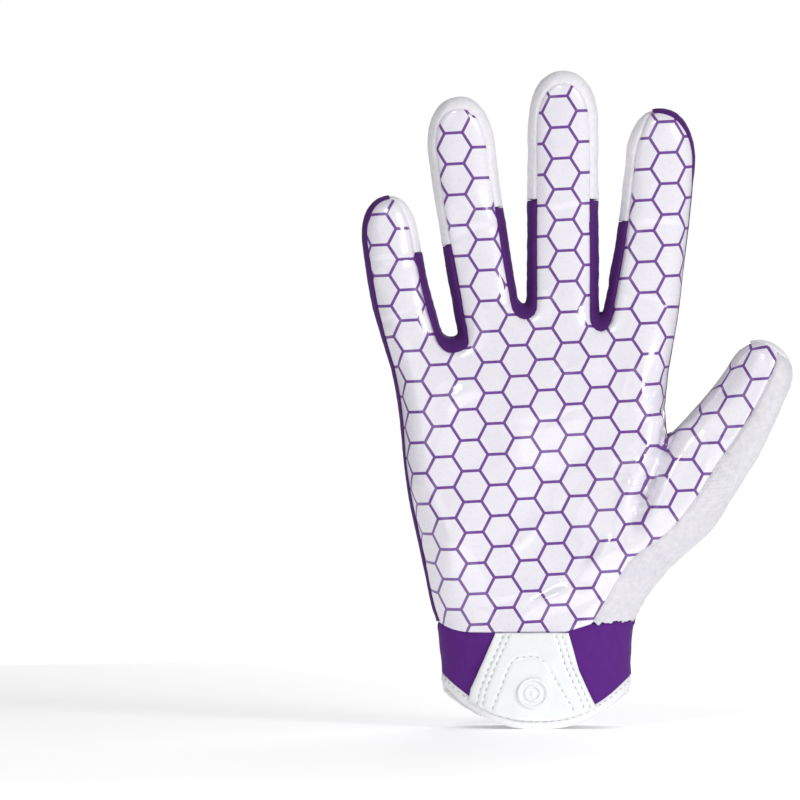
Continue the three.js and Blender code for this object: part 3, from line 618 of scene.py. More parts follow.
def out_of(points, front):
    """Rough outward directions of points on the glove: -Y in front and +Y behind."""
    directions = np.zeros_like(points)
    directions[..., 1] = np.where(front, -1, 1)
    return directions


def unrolled(points, start, front):
    """Places on the flat cloth: from a start column, each step across keeps its direction in the
    plane but has its true length, and behind the outline it goes on outwards."""
    step = np.diff(points, axis=1)
    flat = step[..., [0, 2]]
    length = np.linalg.norm(step, axis=2) / np.linalg.norm(flat, axis=2).clip(1e-6)
    way = np.where(np.broadcast_to(front, points.shape[:2])[:, 1:], 1, -1)
    stretched = flat * (length.clip(1, 12) * way)[..., None]
    total = np.concatenate([np.zeros_like(stretched[:, :1]), stretched.cumsum(1)], 1)
    return points[:, start:start + 1, [0, 2]] + total - total[:, start:start + 1]


def between(left, right, shares, level=None):
    """Grid of plane points between two edges. Where level is 1 the rows leave both ends level."""
    f = shares[None, :]
    x = mix(left[:, :1], right[:, :1], f)
    bend = f if level is None else mix(f, ease(f), level[:, None])
    return x, mix(left[:, 1:], right[:, 1:], bend)


def waves(points, size, seed, count=10):
    """Smooth random relief of about -1 to 1: the sum of sine waves in random directions, whose
    lengths are about size, over one and a half times the root of their number."""
    random = np.random.default_rng(seed)
    directions = unit(random.normal(size=(count, 3)))
    lengths = size * random.uniform(0.7, 1.5, count)
    phases = random.uniform(0, 2 * np.pi, count)
    return np.sin(points @ (directions.T * 2 * np.pi / lengths) + phases).sum(1) / count**0.5 / 1.5


# %% [markdown]
# Finishes
#
# Each finish is a small graph of nodes. The helper below adds a node, fills its sockets with
# numbers or with other nodes, and hands back its first output, so that a graph reads like a
# formula. All patterns run on the unrolled cloth or on the object's own coordinates, never on the
# camera's.


# %% Node helper
class Finish:
    """A material under construction: its Principled shader, and short ways to add nodes to it."""

    def __init__(self, name, colour, roughness, **sockets):
        self.material = bpy.data.materials.new(name)
        self.material.use_nodes = True
        self.tree = self.material.node_tree
        self.shader = self.tree.nodes["Principled BSDF"]
        self.set("Base Color", (*colour, 1))
        self.set("Roughness", roughness)
        for socket, value in sockets.items():
            self.set(socket.replace("_", " "), value)

    def set(self, socket, value):
        self.put(self.shader.inputs[socket], value)

    def put(self, socket, value):
        if isinstance(value, bpy.types.NodeSocket):
            self.tree.links.new(value, socket)
        else:
            socket.default_value = value

    def add(self, kind, *inputs, output=0, **settings):
        made = self.tree.nodes.new("ShaderNode" + kind)
        for key, value in settings.items():
            setattr(made, key, value)
        for k, value in enumerate(inputs):
            if value is not None:
                self.put(made.inputs[k], value)
        return made.outputs[output]

    def math(self, operation, *inputs):
        return self.add("Math", *inputs, operation=operation)

    def vector(self, operation, *inputs, output=0):
        return self.add("VectorMath", *inputs, operation=operation, output=output)

    def blend(self, factor, a, b):
        made = self.tree.nodes.new("ShaderNodeMix")
        made.data_type = "RGBA"
        self.put(made.inputs[0], factor)
        for socket, value in ((made.inputs[6], a), (made.inputs[7], b)):
            self.put(socket, value if isinstance(value, bpy.types.NodeSocket) else (*value, 1))
        return made.outputs[2]

    def cloth(self):
        """Places on the unrolled cloth in millimetres."""
        uv = self.add("UVMap", uv_map="cloth")
        return self.vector("MULTIPLY", uv, (1 / UV_SCALE,) * 3)

    def place(self):
        """Places on the object in millimetres."""
        return self.vector("MULTIPLY", self.add("TexCoord", output=3), (1 / MM,) * 3)

    def noise(self, where, size, detail=2.0, roughness=0.5):
        """Cloudy noise whose blobs are about size millimetres."""
        made = self.tree.nodes.new("ShaderNodeTexNoise")
        self.put(made.inputs["Vector"], where)
        made.inputs["Scale"].default_value = 1 / size
        made.inputs["Detail"].default_value = detail
        made.inputs["Roughness"].default_value = roughness
        return made.outputs["Fac"]

    def bump(self, *layers):
        """Relief from pairs of (height from 0 to 1, size of it in millimetres)."""
        normal = None
        for height, size in layers:
            made = self.tree.nodes.new("ShaderNodeBump")
            made.inputs["Distance"].default_value = size * MM
            self.put(made.inputs["Height"], height)
            if normal is not None:
                self.put(made.inputs["Normal"], normal)
            normal = made.outputs["Normal"]
        self.set("Normal", normal)


# %% [markdown]
# Grip silicone
#
# The palm is synthetic leather under a clear, glossy silicone, with a printed pattern of purple
# outlines. The pattern here is a plain honeycomb. Its lines are the places that lie nearly as far
# from one cell centre as from the next: the plane is folded into two sets of rectangles, the
# nearer centre is kept, and the distance to the cell's edge gives a line of any width.

# %% Grip silicone
CELL_WIDTH = 11.0
LINE_WIDTH = 1.05
PRINT_TILT = 27
GROUND = ((0.85, 0.815, 0.915), (0.925, 0.905, 0.955))  # two tones that cloudy noise blends
INK = ((0.135, 0.034, 0.27), (0.185, 0.055, 0.35))


def honeycomb(finish, where, width, tilt):
    """Distance to the nearest line of a honeycomb, in cell widths, from 0 to a half."""
    turned = finish.add("Mapping", where, None, (0, 0, math.radians(tilt)),
                        (1 / width, 1 / width, 1 / width))
    # A hundred cells further on all places are positive, so that the remainders have no break
    far = finish.vector("ADD", turned, (100, 100 * 3**0.5, 0))
    box, half = (1, 3**0.5, 1), (0.5, 3**0.5 / 2, 0.5)
    first = finish.vector("SUBTRACT", finish.vector("MODULO", far, box), half)
    other = finish.vector("MODULO", finish.vector("SUBTRACT", far, half), box)
    other = finish.vector("SUBTRACT", other, half)
    flat = (1, 1, 0)
    first, other = finish.vector("MULTIPLY", first, flat), finish.vector("MULTIPLY", other, flat)
    lengths = [finish.vector("LENGTH", part, output=1) for part in (first, other)]
    nearer = finish.math("LESS_THAN", *lengths)
    made = finish.tree.nodes.new("ShaderNodeMix")
    made.data_type = "VECTOR"
    finish.put(made.inputs[0], nearer)
    finish.put(made.inputs[4], other)
    finish.put(made.inputs[5], first)
    centred = finish.vector("ABSOLUTE", made.outputs[1])
    slanted = finish.vector("DOT_PRODUCT", centred, (0.5, 3**0.5 / 2, 0), output=1)
    upright = finish.add("SeparateXYZ", centred)
    return finish.math("SUBTRACT", 0.5, finish.math("MAXIMUM", slanted, upright))


def line_mask(finish, distance, half_width, softness):
    """1 on a line and 0 beside it, with a soft edge."""
    made = finish.tree.nodes.new("ShaderNodeMapRange")
    made.interpolation_type = "SMOOTHSTEP"
    finish.put(made.inputs["Value"], distance)
    made.inputs["From Min"].default_value = half_width - softness
    made.inputs["From Max"].default_value = half_width + softness
    made.inputs["To Min"].default_value = 1
    made.inputs["To Max"].default_value = 0
    return made.outputs[0]


grip = Finish("grip_silicone", (0.84, 0.79, 0.90), 0.3, Coat_Weight=1.0, Coat_Roughness=0.07,
              Coat_IOR=1.7, Specular_IOR_Level=0.5)
on_cloth = grip.cloth()
lines = line_mask(grip, honeycomb(grip, on_cloth, CELL_WIDTH, PRINT_TILT),
                  LINE_WIDTH / 2 / CELL_WIDTH, 0.008)
clouds = grip.noise(on_cloth, 9)
ground = grip.blend(clouds, *GROUND)
ink = grip.blend(grip.noise(on_cloth, 3), *INK)
grip.set("Base Color", grip.blend(lines, ground, ink))
grip.set("Roughness", grip.add("MapRange", grip.noise(on_cloth, 1.2), 0.3, 0.7, 0.24, 0.38))
grain = grip.noise(grip.place(), 0.5, 3)
grip.bump((grain, 0.05), (lines, 0.06))

# %% [markdown]
# Stretch knit, suede, neoprene, tape, tab and thread
#
# Stretch knit is matt with a fine rib and a soft sheen. Suede is a mat of short fibres, so its
# relief is noise at two sizes and its colour is mottled. The cuff and the strap are knit over
# foam, smoother and a little brighter. The white tape is woven with cross ribs, and the tab on the
# wrist is moulded and glossy. On the back the knit carries stripes: chevrons here, broad and white
# near the wrist and hairlines at the fingertips.

# %% Knits
STRIPE_PITCH = 8.6
STRIPE_SLOPE = 0.62
STRIPE_CENTRE = 4  # where across the back the chevrons have their points
STRIPE_FADE = (60, 190, 0.31, 0.022)  # from and to these heights, from and to these half widths


def ribs(finish, where, pitch, angle=0.0):
    """Rounded ribs of a given pitch, from 0 to 1, across the cloth's x turned by an angle."""
    turned = finish.add("Mapping", where, None, (0, 0, angle), (2 * math.pi / pitch,) * 3)
    across = finish.add("SeparateXYZ", turned)
    return finish.add("MapRange", finish.math("SINE", across), -1, 1, 0, 1)


def knit(name, colour, roughness, pitch=0.55, sheen=0.08):
    """A knit: two crossing sets of fine ribs, with cloudy colour."""
    finish = Finish(name, colour, roughness, Sheen_Weight=sheen, Sheen_Roughness=0.5,
                    Specular_IOR_Level=0.18, Sheen_Tint=(0.6, 0.35, 0.9, 1))
    where = finish.cloth()
    dark = tuple(0.86 * value for value in colour)
    light = tuple(min(1, 1.14 * value) for value in colour)
    finish.set("Base Color", finish.blend(finish.noise(where, 4, 3), dark, light))
    loops = finish.math("MULTIPLY", ribs(finish, where, pitch), ribs(finish, where, pitch * 0.8,
                                                                     math.pi / 2))
    finish.bump((loops, 0.09), (finish.noise(where, 1.5), 0.05))
    return finish


back_knit = knit("striped_knit", (0.112, 0.022, 0.212), 0.72)
where = back_knit.cloth()
split = back_knit.tree.nodes.new("ShaderNodeSeparateXYZ")
back_knit.put(split.inputs[0], where)
centre_offset = back_knit.math("SUBTRACT", split.outputs[0], STRIPE_CENTRE)
rise = back_knit.math("MULTIPLY", back_knit.math("ABSOLUTE", centre_offset), STRIPE_SLOPE)
height = back_knit.math("ADD", split.outputs[1], rise)
phase = back_knit.math("FRACT", back_knit.math("DIVIDE", height, STRIPE_PITCH))
distance = back_knit.math("ABSOLUTE", back_knit.math("SUBTRACT", phase, 0.5))
breadth = back_knit.add("MapRange", split.outputs[1], *STRIPE_FADE)
stripe = back_knit.math("LESS_THAN", distance, breadth)
base = back_knit.shader.inputs["Base Color"].links[0].from_socket
stripe_white = back_knit.blend(back_knit.noise(where, 3), (0.86, 0.86, 0.90), (0.93, 0.93, 0.96))
back_knit.set("Base Color", back_knit.blend(stripe, base, stripe_white))

gusset_knit = knit("gusset_knit", (0.085, 0.018, 0.165), 0.72)
cuff_knit = knit("cuff_knit", (0.106, 0.016, 0.225), 0.62, pitch=0.5, sheen=0.05)
strap_knit = knit("strap_knit", (0.165, 0.062, 0.30), 0.66, pitch=0.45, sheen=0.2)

# %% Suede
PERFORATION_PITCH = 1.5
PERFORATION_SIZE = 0.33  # as a distance from the honeycomb's lines, in pitches
PERFORATED_MIDDLE, PERFORATED_REACH = (52, 6, 92), (16, 30)


def suede_finish(name, dark, light, holes=False):
    """Short white nap: mottled colour, relief at two sizes, and on the thumb small holes in a
    staggered pattern near the fork, where the glove breathes. The holes are real and pressed in;
    their dark grey is painted shade inside them."""
    finish = Finish(name, (0.85, 0.84, 0.88), 0.92, Sheen_Weight=0.35, Sheen_Roughness=0.6)
    where = finish.place()
    mottled = finish.add("MapRange", finish.noise(where, 2.2, 4, 0.7), 0.3, 0.7, 0, 1)
    colour = finish.blend(mottled, dark, light)
    layers = [(finish.noise(where, 0.45, 3, 0.6), 0.16), (finish.noise(where, 1.6, 2), 0.12)]
    if holes:
        spots = honeycomb(finish, finish.cloth(), PERFORATION_PITCH, 0)
        hole = finish.math("GREATER_THAN", spots, PERFORATION_SIZE)
        centre = finish.vector("DISTANCE", where, PERFORATED_MIDDLE, output=1)
        near = finish.add("MapRange", centre, *PERFORATED_REACH, 1, 0)
        hole = finish.math("MULTIPLY", hole, near)
        # The holes' dark grey is painted shade inside them
        colour = finish.blend(hole, colour, (0.42, 0.40, 0.46))
        layers.append((finish.math("SUBTRACT", 1, hole), 0.12))
    finish.set("Base Color", colour)
    finish.bump(*layers)
    return finish


# One white suede in two copies. The thumb's copy is set darker, as painted shade against the strong
# key light on that side. The tip bands' copy is left lighter for the bands in shade on the left.
thumb_suede = suede_finish("thumb_suede", (0.67, 0.65, 0.71), (0.79, 0.78, 0.81), holes=True)
tip_suede = suede_finish("tip_suede", (0.83, 0.81, 0.87), (0.94, 0.93, 0.96))

# %% Tape, tab and thread
tape = Finish("binding_tape", (0.90, 0.90, 0.92), 0.7, Sheen_Weight=0.2)
where = tape.cloth()
tape.set("Base Color", tape.blend(tape.noise(where, 3), (0.85, 0.85, 0.885), (0.94, 0.94, 0.95)))
tape.bump((ribs(tape, where, 0.75), 0.06), (tape.noise(where, 0.5), 0.06))

tab_gloss = Finish("tab_gloss", (0.88, 0.90, 0.90), 0.32, Coat_Weight=0.5, Coat_Roughness=0.12)
where = tab_gloss.place()
pale = tab_gloss.blend(tab_gloss.noise(where, 6), (0.86, 0.885, 0.885), (0.925, 0.94, 0.935))
tab_gloss.set("Base Color", pale)
streaks = tab_gloss.noise(where, 1)
tab_gloss.set("Roughness", tab_gloss.add("MapRange", streaks, 0.3, 0.7, 0.26, 0.4))
tab_gloss.bump((tab_gloss.noise(where, 0.7, 3), 0.05))


def thread(name, colour):
    """Sewing thread: slightly shiny, with a fine twist."""
    finish = Finish(name, colour, 0.5, Sheen_Weight=0.2)
    where = finish.place()
    finish.set("Base Color", finish.blend(finish.noise(where, 0.6), tuple(0.8 * v for v in colour),
                                          colour))
    finish.bump((finish.noise(where, 0.2), 0.05))
    return finish


white_thread = thread("white_thread", (0.80, 0.80, 0.82))
grey_thread = thread("grey_thread", (0.64, 0.65, 0.67))
purple_thread = thread("purple_thread", (0.05, 0.012, 0.10))

# %% [markdown]
# Palm panel
#
# The palm panel is one piece on the real glove: palm, finger fronts and the pad of the thumb,
# wrapped a little way behind the thumb's inner edge. Four strips run from the wrist to the
# fingertips, and two more cover the ball and the front of the thumb. Its edges roll in at the
# seams, and creases cross the fingers at their joints and gather at the fork of the thumb.

# %% Strips of the palm and the back
COLUMNS = 28
LEVEL_ROWS = 5
GAP_ROWS = (14.5, 5)  # rows round the gap where a strip's inside follows an averaged edge
TIP_DROP, THUMB_DROP = 9, 14  # fine rows left out at the top of a tip, where all columns meet
HEEL_ROWS = 2.5
PANEL_ROLL = (0.3, 1.6)  # depth and width of a panel's edge where it rolls in at a seam


def averaged(edge, reach=ROWS):
    """Each point of an edge averaged with the points up to reach rows before and after it. The
    edge is continued past its ends by turning it about them, so the ends stay in place."""
    ahead, behind = 2 * edge[0] - edge[reach:0:-1], 2 * edge[-1] - edge[-2:-reach - 2:-1]
    total = np.vstack([0 * edge[:1], np.vstack([ahead, edge, behind]).cumsum(0)])
    return (total[2 * reach + 1:] - total[:-2 * reach - 1]) / (2 * reach + 1)


def strip_between(left, right, shares, level):
    """Plane grid of a finger's strip. Near the gap its inside follows averaged edges, and the
    difference to the true edge fades out over half the strip."""
    count = len(left)
    near = ease(1 - np.abs(np.arange(count) / ROWS - GAP_ROWS[0]) / GAP_ROWS[1])[:, None]
    soft_left, soft_right = (mix(edge, averaged(edge), near) for edge in (left, right))
    x, z = between(soft_left, soft_right, shares, level)
    fade = (1 - 2 * shares).clip(0) ** 3
    for edge, soft, share in ((left, soft_left, fade), (right, soft_right, fade[::-1])):
        x = x + (edge - soft)[:, :1] * share
        z = z + (edge - soft)[:, 1:] * share
    return x, z


def printed(points, start, unrolled_share):
    """Places on the cloth: the plane's own, as far as a print lies flat on the palm, blended
    into unrolled ones by a share for each row."""
    share = np.asarray(unrolled_share, float)[:, None, None]
    return mix(points[..., [0, 2]], unrolled(points, start, True), share)


def finger_strips(borders, wrist_seam, inner_edge, panel, front):
    """The four strips of a panel, as grids: left and right edges from the wrist to the tip, with
    columns closer together at the sides. The print is unrolled from the middle of each finger."""
    seam = np.array(wrist_seam, float)
    drop = panel[2]
    tops = finger_edges(panel)
    rows = (np.arange(PALM_ROWS * ROWS) / ROWS / PALM_ROWS)[:, None]
    wrist = [(x, np.interp(x, seam[:, 0], seam[:, 1])) for x in borders]
    inner = [mix(np.array(low), gap - (0, drop), rows) for low, gap in zip(wrist, GAPS)]
    outer = [palm_edge(LITTLE_SIDE, tops["pinky", -1][0]), *inner,
             index_edge(inner_edge, tops["index", 1][0])]
    count = len(outer[0]) + len(tops["pinky", 1])
    place = np.arange(count) / ROWS
    level = ease(1 - np.abs(place - PALM_ROWS) / LEVEL_ROWS)
    on_finger = ease((place - PALM_ROWS) / 4)
    on_side = ease((place - FORK_ROW + 1) / 4)
    spreads = [towards_start, towards_both, towards_both, towards_end]
    grids = []
    for k, name in enumerate(FINGERS):
        left = np.vstack([outer[k], tops[name, -1]])
        right = np.vstack([outer[k + 1], tops[name, 1]])
        shares = spreads[k](COLUMNS)
        x, z = strip_between(left, right, shares, level)
        if k == 0:  # the heel's corner is rounded
            heel = ease(1 - place / HEEL_ROWS)[:, None]
            z = z - heel * (left[0, 1] - right[0, 1]) * (1 - shares - (1 - shares) ** 2.2)
        x, z = x[:-TIP_DROP], z[:-TIP_DROP]
        points = lifted(x, z, front)
        if k == 0:
            palm_uv = unrolled(points, COLUMNS, True)
        elif k == 3:
            palm_uv = printed(points, 0, on_side[:-TIP_DROP])
        else:
            palm_uv = points[..., [0, 2]]
        share = on_finger[:-TIP_DROP, None, None]
        uv = mix(palm_uv, unrolled(points, COLUMNS // 2, True), share)
        grids.append((points, out_of(points, front), uv))
    return grids


def seam_line(*edges_in_plane, front=1):
    """Panel edges as lines on the filled glove."""
    return [lifted(edge[:, 0], edge[:, 1], front) for edge in edges_in_plane]


def rolled(lines, depth, width):
    """Relief of an edge that rolls in at a seam: depth at the seam, easing out over width."""
    def relief(points):
        nearest_line = np.min([distance_to(line, points) for line in lines], axis=0)
        return -depth * (1 - np.clip(nearest_line / width, 0, 1)) ** 2
    return relief


# %% Palm panel
SUEDE_LINE = (0.25, 0.985)
THUMB_WRAP = (0.7, 4)
fork_front = fork_rows(SUEDE_SEAM)
suede_high = thumb_edge(1, *SUEDE_LINE, SUEDE_SEAM[-1])
thumb_middle = thumb_edge(1, 0, 1, THUMB_FORK)
wrap_rows = ease(np.arange(len(thumb_inner_rim)) / ROWS / THUMB_WRAP[1])[:, None]
thumb_behind = mix(thumb_middle, thumb_inner_rim, mix(1, THUMB_WRAP[0], wrap_rows))
thumb_behind[:ROWS] = mix(thumb_inner_rim[:ROWS], thumb_behind[:ROWS],
                          (np.arange(ROWS) / ROWS)[:, None])
# Creases of the palm side: middle point x, z, direction in degrees, half length, depth
CREASES = [
    (-17, 152, 8, 11, 0.35), (-21, 178, 9, 11, 0.5), (9, 158, 0, 12, 0.35), (9, 186, 0, 12, 0.5),
    (38, 154, -6, 12, 0.4), (41, 180, -6, 12, 0.5), (-46, 148, 10, 10, 0.4), (-50, 168, 11, 9, 0.4),
    (42, 112, 30, 9, 0.7), (41, 99, 5, 10, 0.8), (36, 88, -20, 12, 0.7), (20, 48, 40, 14, 0.4),
    (64, 104, -32, 11, 0.5), (-10, 46, 8, 18, 0.4), (-34, 100, 70, 16, 0.3), (10, 112, 12, 24, 0.3),
]


def along_and_across(points, x, z, turn):
    """Distances of points from (x, z): along a direction given in degrees, and square to it."""
    cos, sin = math.cos(math.radians(turn)), math.sin(math.radians(turn))
    dx, dz = points[:, 0] - x, points[:, 2] - z
    return dx * cos + dz * sin, dz * cos - dx * sin


def creased(points, creases):
    """Relief of soft creases: a narrow valley with a bulge on each side, fading at both ends."""
    total = np.zeros(len(points))
    for x, z, turn, half_length, depth in creases:
        lengthways, sideways = along_and_across(points, x, z, turn)
        sideways = sideways + 0.9 * np.sin(lengthways / 4 + x)
        fade = np.exp(-((lengthways / half_length) ** 2) * 1.4)
        valley = np.exp(-((sideways / 1.5) ** 2)) - 0.55 * np.exp(-((sideways / 4.2) ** 2))
        total -= depth * fade * valley
    return total


# Soft folds of the palm side: middle point x, z, direction in degrees, half length, width, height
FOLDS = [
    (25, 65, 62, 9, 3.6, 1.5), (7, 48, 48, 8, 3.2, 1.1), (37, 122, 98, 8, 3.2, 1.2),
    (-9, 97, 78, 13, 5, 1.1), (-33, 108, 84, 12, 4, 1.2), (-31, 64, 102, 11, 4, 1.1),
    (12, 84, 66, 8, 3.5, 0.9), (-22, 189, 98, 9, 2.8, 0.6), (5, 196, 88, 11, 2.8, 0.6),
    (-50, 164, 98, 9, 2.6, 0.6), (38, 190, 92, 9, 2.8, 0.6), (60, 95, 60, 9, 3, 0.9),
    (24, 60, 30, 12, 2.6, 1.3), (5, 46, 22, 10, 2.3, 1.1), (40, 120, 25, 6, 2.3, 1.1),
    (-27, 119, 24, 8, 2.6, 1.1), (-3, 70, 28, 9, 2.6, 0.9), (11, 128, 18, 7, 2.4, 0.8),
]


def folded(points, folds):
    """Relief of soft folds: ridges with a bell curve across and a longer one lengthways, each bent
    a little by a slow sine wave."""
    total = np.zeros(len(points))
    for x, z, turn, half_length, width, height in folds:
        lengthways, sideways = along_and_across(points, x, z, turn)
        sideways = sideways + 1.2 * np.sin(lengthways / half_length * 2 + x)
        total += height * np.exp(-((lengthways / half_length) ** 2) - (sideways / width) ** 2)
    return total


palm_grids = finger_strips(PALM_BORDERS, WRIST_SEAM, THENAR_FOLD, FRONT, True)


def side_grid(left, right, shares, front, start, blend):
    """A grid between two edges, lifted, with its outward directions and places on the cloth."""
    x, z = between(left, right, shares)
    points = lifted(x, z, front)
    return points, out_of(points, front), printed(points, start, blend)


ball_rows = np.zeros(len(fork_front))
thumb_rows = ease(np.arange(len(thumb_inner_rim) - THUMB_DROP) / ROWS / 2)
palm_grids.append(side_grid(fork_rows(THENAR_FOLD), fork_front, towards_start(COLUMNS), True, 0,
                            ball_rows))
palm_grids.append(side_grid(thumb_inner_rim[:-THUMB_DROP], suede_high[:-THUMB_DROP],
                            towards_start(COLUMNS), True, COLUMNS, thumb_rows))
wrap_x, wrap_z = between(thumb_inner_rim[:-THUMB_DROP], thumb_behind[:-THUMB_DROP],
                         towards_start(8))
wrap_points = lifted(wrap_x, wrap_z, False)
wrap_uv = unrolled(wrap_points, 0, False)
wrap_uv += palm_grids[-1][2][:, :1] - wrap_uv[:, :1]
palm_grids.append((wrap_points, out_of(wrap_points, False), wrap_uv))

palm_tops = finger_edges(FRONT)
palm_seams = seam_line(
    *palm_tops.values(), palm_edge(LITTLE_SIDE, palm_tops["pinky", -1][0]), index_rim,
    np.vstack([fork_front, suede_high]), np.array(WRIST_SEAM[:4], float),
)
palm_roll = rolled(palm_seams, *PANEL_ROLL)
FORK_CREASE = along(THENAR_FOLD, np.linspace(0.62, 1, 40))
FORK_VALLEY = (1.9, 1.7)  # depth, half width
FORK_BULGE = (0.9, 5.5, 3)  # height, distance from the valley, half width


def palm_slow(points):
    """The part of the palm's relief that its neighbours follow: creases, folds and a slow
    unevenness."""
    return creased(points, CREASES) + folded(points, FOLDS) + 0.3 * waves(points, 24, 1)


def palm_relief(points):
    """Rolled seams, creases, a slow unevenness, and a sharp fold at the fork of the thumb with a
    bulge on either side."""
    away = distance_to(FORK_CREASE, points[:, [0, 2]])
    front = ease_over(points[:, 1], (-6, -9))
    depth, half_width = FORK_VALLEY
    height, beside, bulge_width = FORK_BULGE
    bulge = height * np.exp(-(((away - beside) / bulge_width) ** 2))
    fold = front * (bulge - depth * np.exp(-((away / half_width) ** 2)))
    return palm_roll(points) + fold + palm_slow(points)


palm = make_piece("palm_panel_skin", palm_grids, grip.material, ["palm_panel"],
                  wall=1.3, relief=palm_relief)

# %% [markdown]
# Back panel
#
# The back is one piece of stretch knit from the wrist to the fingertips. It is cut like the palm,
# but reaches further round the fingers, so the same strips are used with the larger shares of the
# width. Beside the strap it ends at a short open vent.

# %% Back panel
VENT_HALF_WIDTH, VENT_CLOSING = 1.7, (0.216, 0.396)
BACK_CREASES = [
    (-20, 172, 8, 11, 0.3), (9, 178, 0, 12, 0.3), (40, 172, -6, 12, 0.3), (-47, 160, 10, 9, 0.3),
    (-31, 48, 62, 12, 0.7), (-27, 54, 60, 10, 0.6), (-37, 60, 70, 12, 0.5), (34, 70, 70, 14, 0.35),
    (-31, 130, 80, 12, 0.4), (-5, 141, 88, 12, 0.4), (22, 138, 95, 12, 0.4), (0, 52, 3, 20, 0.3),
]


def vent_edge(side):
    """Back seam moved aside to the left or right: by half the vent where it is open, which eases
    out over the vent's closing shares, and by half a seam's gap above."""
    table = np.array(BACK_SEAM, float)
    share = np.linspace(0, 1, len(table))
    half = VENT_HALF_WIDTH * (1 - ease_over(share, VENT_CLOSING)) + SEAM_GAP / 2 * (share < 1)
    return table + np.stack([side * half, 0 * half], 1)


back_grids = finger_strips(BACK_BORDERS, BACK_WRIST_SEAM, vent_edge(-1), BACK, False)
back_tops = finger_edges(BACK)
back_seams = seam_line(
    *back_tops.values(), palm_edge(LITTLE_SIDE, back_tops["pinky", -1][0]), index_rim,
    fork_rows(vent_edge(-1)), front=0,
)
back_roll = rolled(back_seams, *PANEL_ROLL)


def back_slow(points):
    """Creases by the strap and between the knuckles, and a slow unevenness."""
    return creased(points, BACK_CREASES) + 0.3 * waves(points, 26, 2)


make_piece("back_panel_skin", back_grids, back_knit.material, ["back_panel"],
           wall=1.3, relief=lambda points: back_roll(points) + back_slow(points))

# %% [markdown]
# Thumb panel
#
# White suede covers the outside of the ball of the thumb and the thumb's back. It starts at the
# palm panel's seam, turns over the outline and runs to the back panel's seam, so its grid is
# wrapped: columns in front, a column on the outline, and columns behind.


# %% Wrapped strips
def moved(edge, towards, distance):
    """An edge moved sideways in the plane, square to its run, towards another edge, and never
    more than part of the way to it."""
    run = np.gradient(edge, axis=0)
    aside = np.stack([run[:, 1], -run[:, 0]], 1) / np.linalg.norm(run, axis=1)[:, None].clip(1e-6)
    gap = towards - edge
    way = np.sign((aside * gap).sum(1))
    reach = np.minimum(distance, 0.4 * np.linalg.norm(gap, axis=1))
    return edge + aside * (way * reach)[:, None]


def wrapped(front_edge, rim_edge, back_edge, front_columns, back_columns):
    """Grid from an edge in front, over the outline, to an edge behind."""
    x_front, z_front = between(front_edge, rim_edge, towards_end(front_columns))
    x_back, z_back = between(rim_edge, back_edge, towards_start(back_columns))
    points = np.concatenate([
        lifted(x_front, z_front, True)[:, :-1], lifted(x_back, z_back, False)], 1)
    front = np.arange(points.shape[1]) <= front_columns
    front = np.broadcast_to(front, points.shape[:2])
    return points, out_of(points, front), unrolled(points, front_columns, front)


# %% Thumb panel
suede_front = np.vstack([fork_front[:-1], suede_high])
suede_rim = np.vstack([thumb_side[:-1], thumb_outer_rim])
suede_back = np.vstack([fork_rows(vent_edge(1))[:-1], thumb_behind])
TUCK = 0.3  # how far a panel's edge goes on under its neighbour
FRAY, FRAY_MOST = 0.9, 0.45
thumb_tuck = -TUCK * ease(np.arange(len(suede_front))[::-1] / ROWS / 3)
thumb_grid = wrapped(*(edge[:-THUMB_DROP] for edge in (
    moved(suede_front, suede_rim, thumb_tuck), suede_rim,
    moved(suede_back, suede_rim, thumb_tuck))), 34, 40)
for row, share in ((0, 1), (1, 0.5)):  # the cut edge at the cuff is frayed
    cut = thumb_grid[0][row]
    cut[:, 2] += share * np.minimum(FRAY * waves(cut, 1.5, 51), FRAY_MOST)
thumb_seams = [*seam_line(suede_front), *seam_line(suede_back, front=0)]
thumb_roll = rolled(thumb_seams, 0.85, 1.6)
THUMB_CREASES = [
    (58, 86, -30, 12, 0.5), (66, 98, -28, 10, 0.4), (45, 60, -35, 12, 0.4), (74, 112, -30, 9, 0.35),
]


def thumb_relief(points):
    """Rolled seams, soft creases across the ball of the thumb, a slow unevenness and the nap."""
    nap = 0.09 * waves(points, 1.9, 31, 16)
    return thumb_roll(points) + creased(points, THUMB_CREASES) + 0.35 * waves(points, 20, 3) + nap


make_piece("thumb_panel_skin", [thumb_grid], thumb_suede.material, ["thumb_panel"],
           wall=1.3, relief=thumb_relief)

# %% [markdown]
# Gussets and tip bands
#
# Narrow strips join front and back between the fingers: purple knit through each gap, and white
# suede above it round the fingertip. Both are wrapped strips between the front panel's edge and
# the back panel's edge. The knit of a gusset gathers into small puckers along its seams.

# %% Gussets and tip bands
GUSSET_ROWS = {("pinky", 1): 9, ("ring", -1): 7, ("ring", 1): 8, ("middle", -1): 8,
               ("middle", 1): 8, ("index", -1): 8}
STRIP_COLUMNS = 12


def side_rows(name, side, first, last):
    """A finger's side between two rows of the plain solid: edges in front, outside and behind."""
    part = slice(first * ROWS, last * ROWS + 1)
    return [finger_edge(name, side, panel)[part] for panel in (FRONT, RIM, BACK)]


def strip_piece(name, sides, finish, pucker, seed):
    """Side strip from its three edges: rolled in at both seams, with small puckers."""
    front, rim, back = sides
    grid_parts = wrapped(moved(front, rim, -TUCK), rim, moved(back, rim, -TUCK),
                         STRIP_COLUMNS, STRIP_COLUMNS)
    roll = rolled([*seam_line(front), *seam_line(back, front=0)], 0.8, 1.3)

    def relief(points):
        return roll(points) + pucker * waves(points, 3.2, seed) + 0.2 * waves(points, 12, seed)
    return make_piece(name + "_skin", [grid_parts], finish.material, [name], wall=1.2,
                      relief=relief)


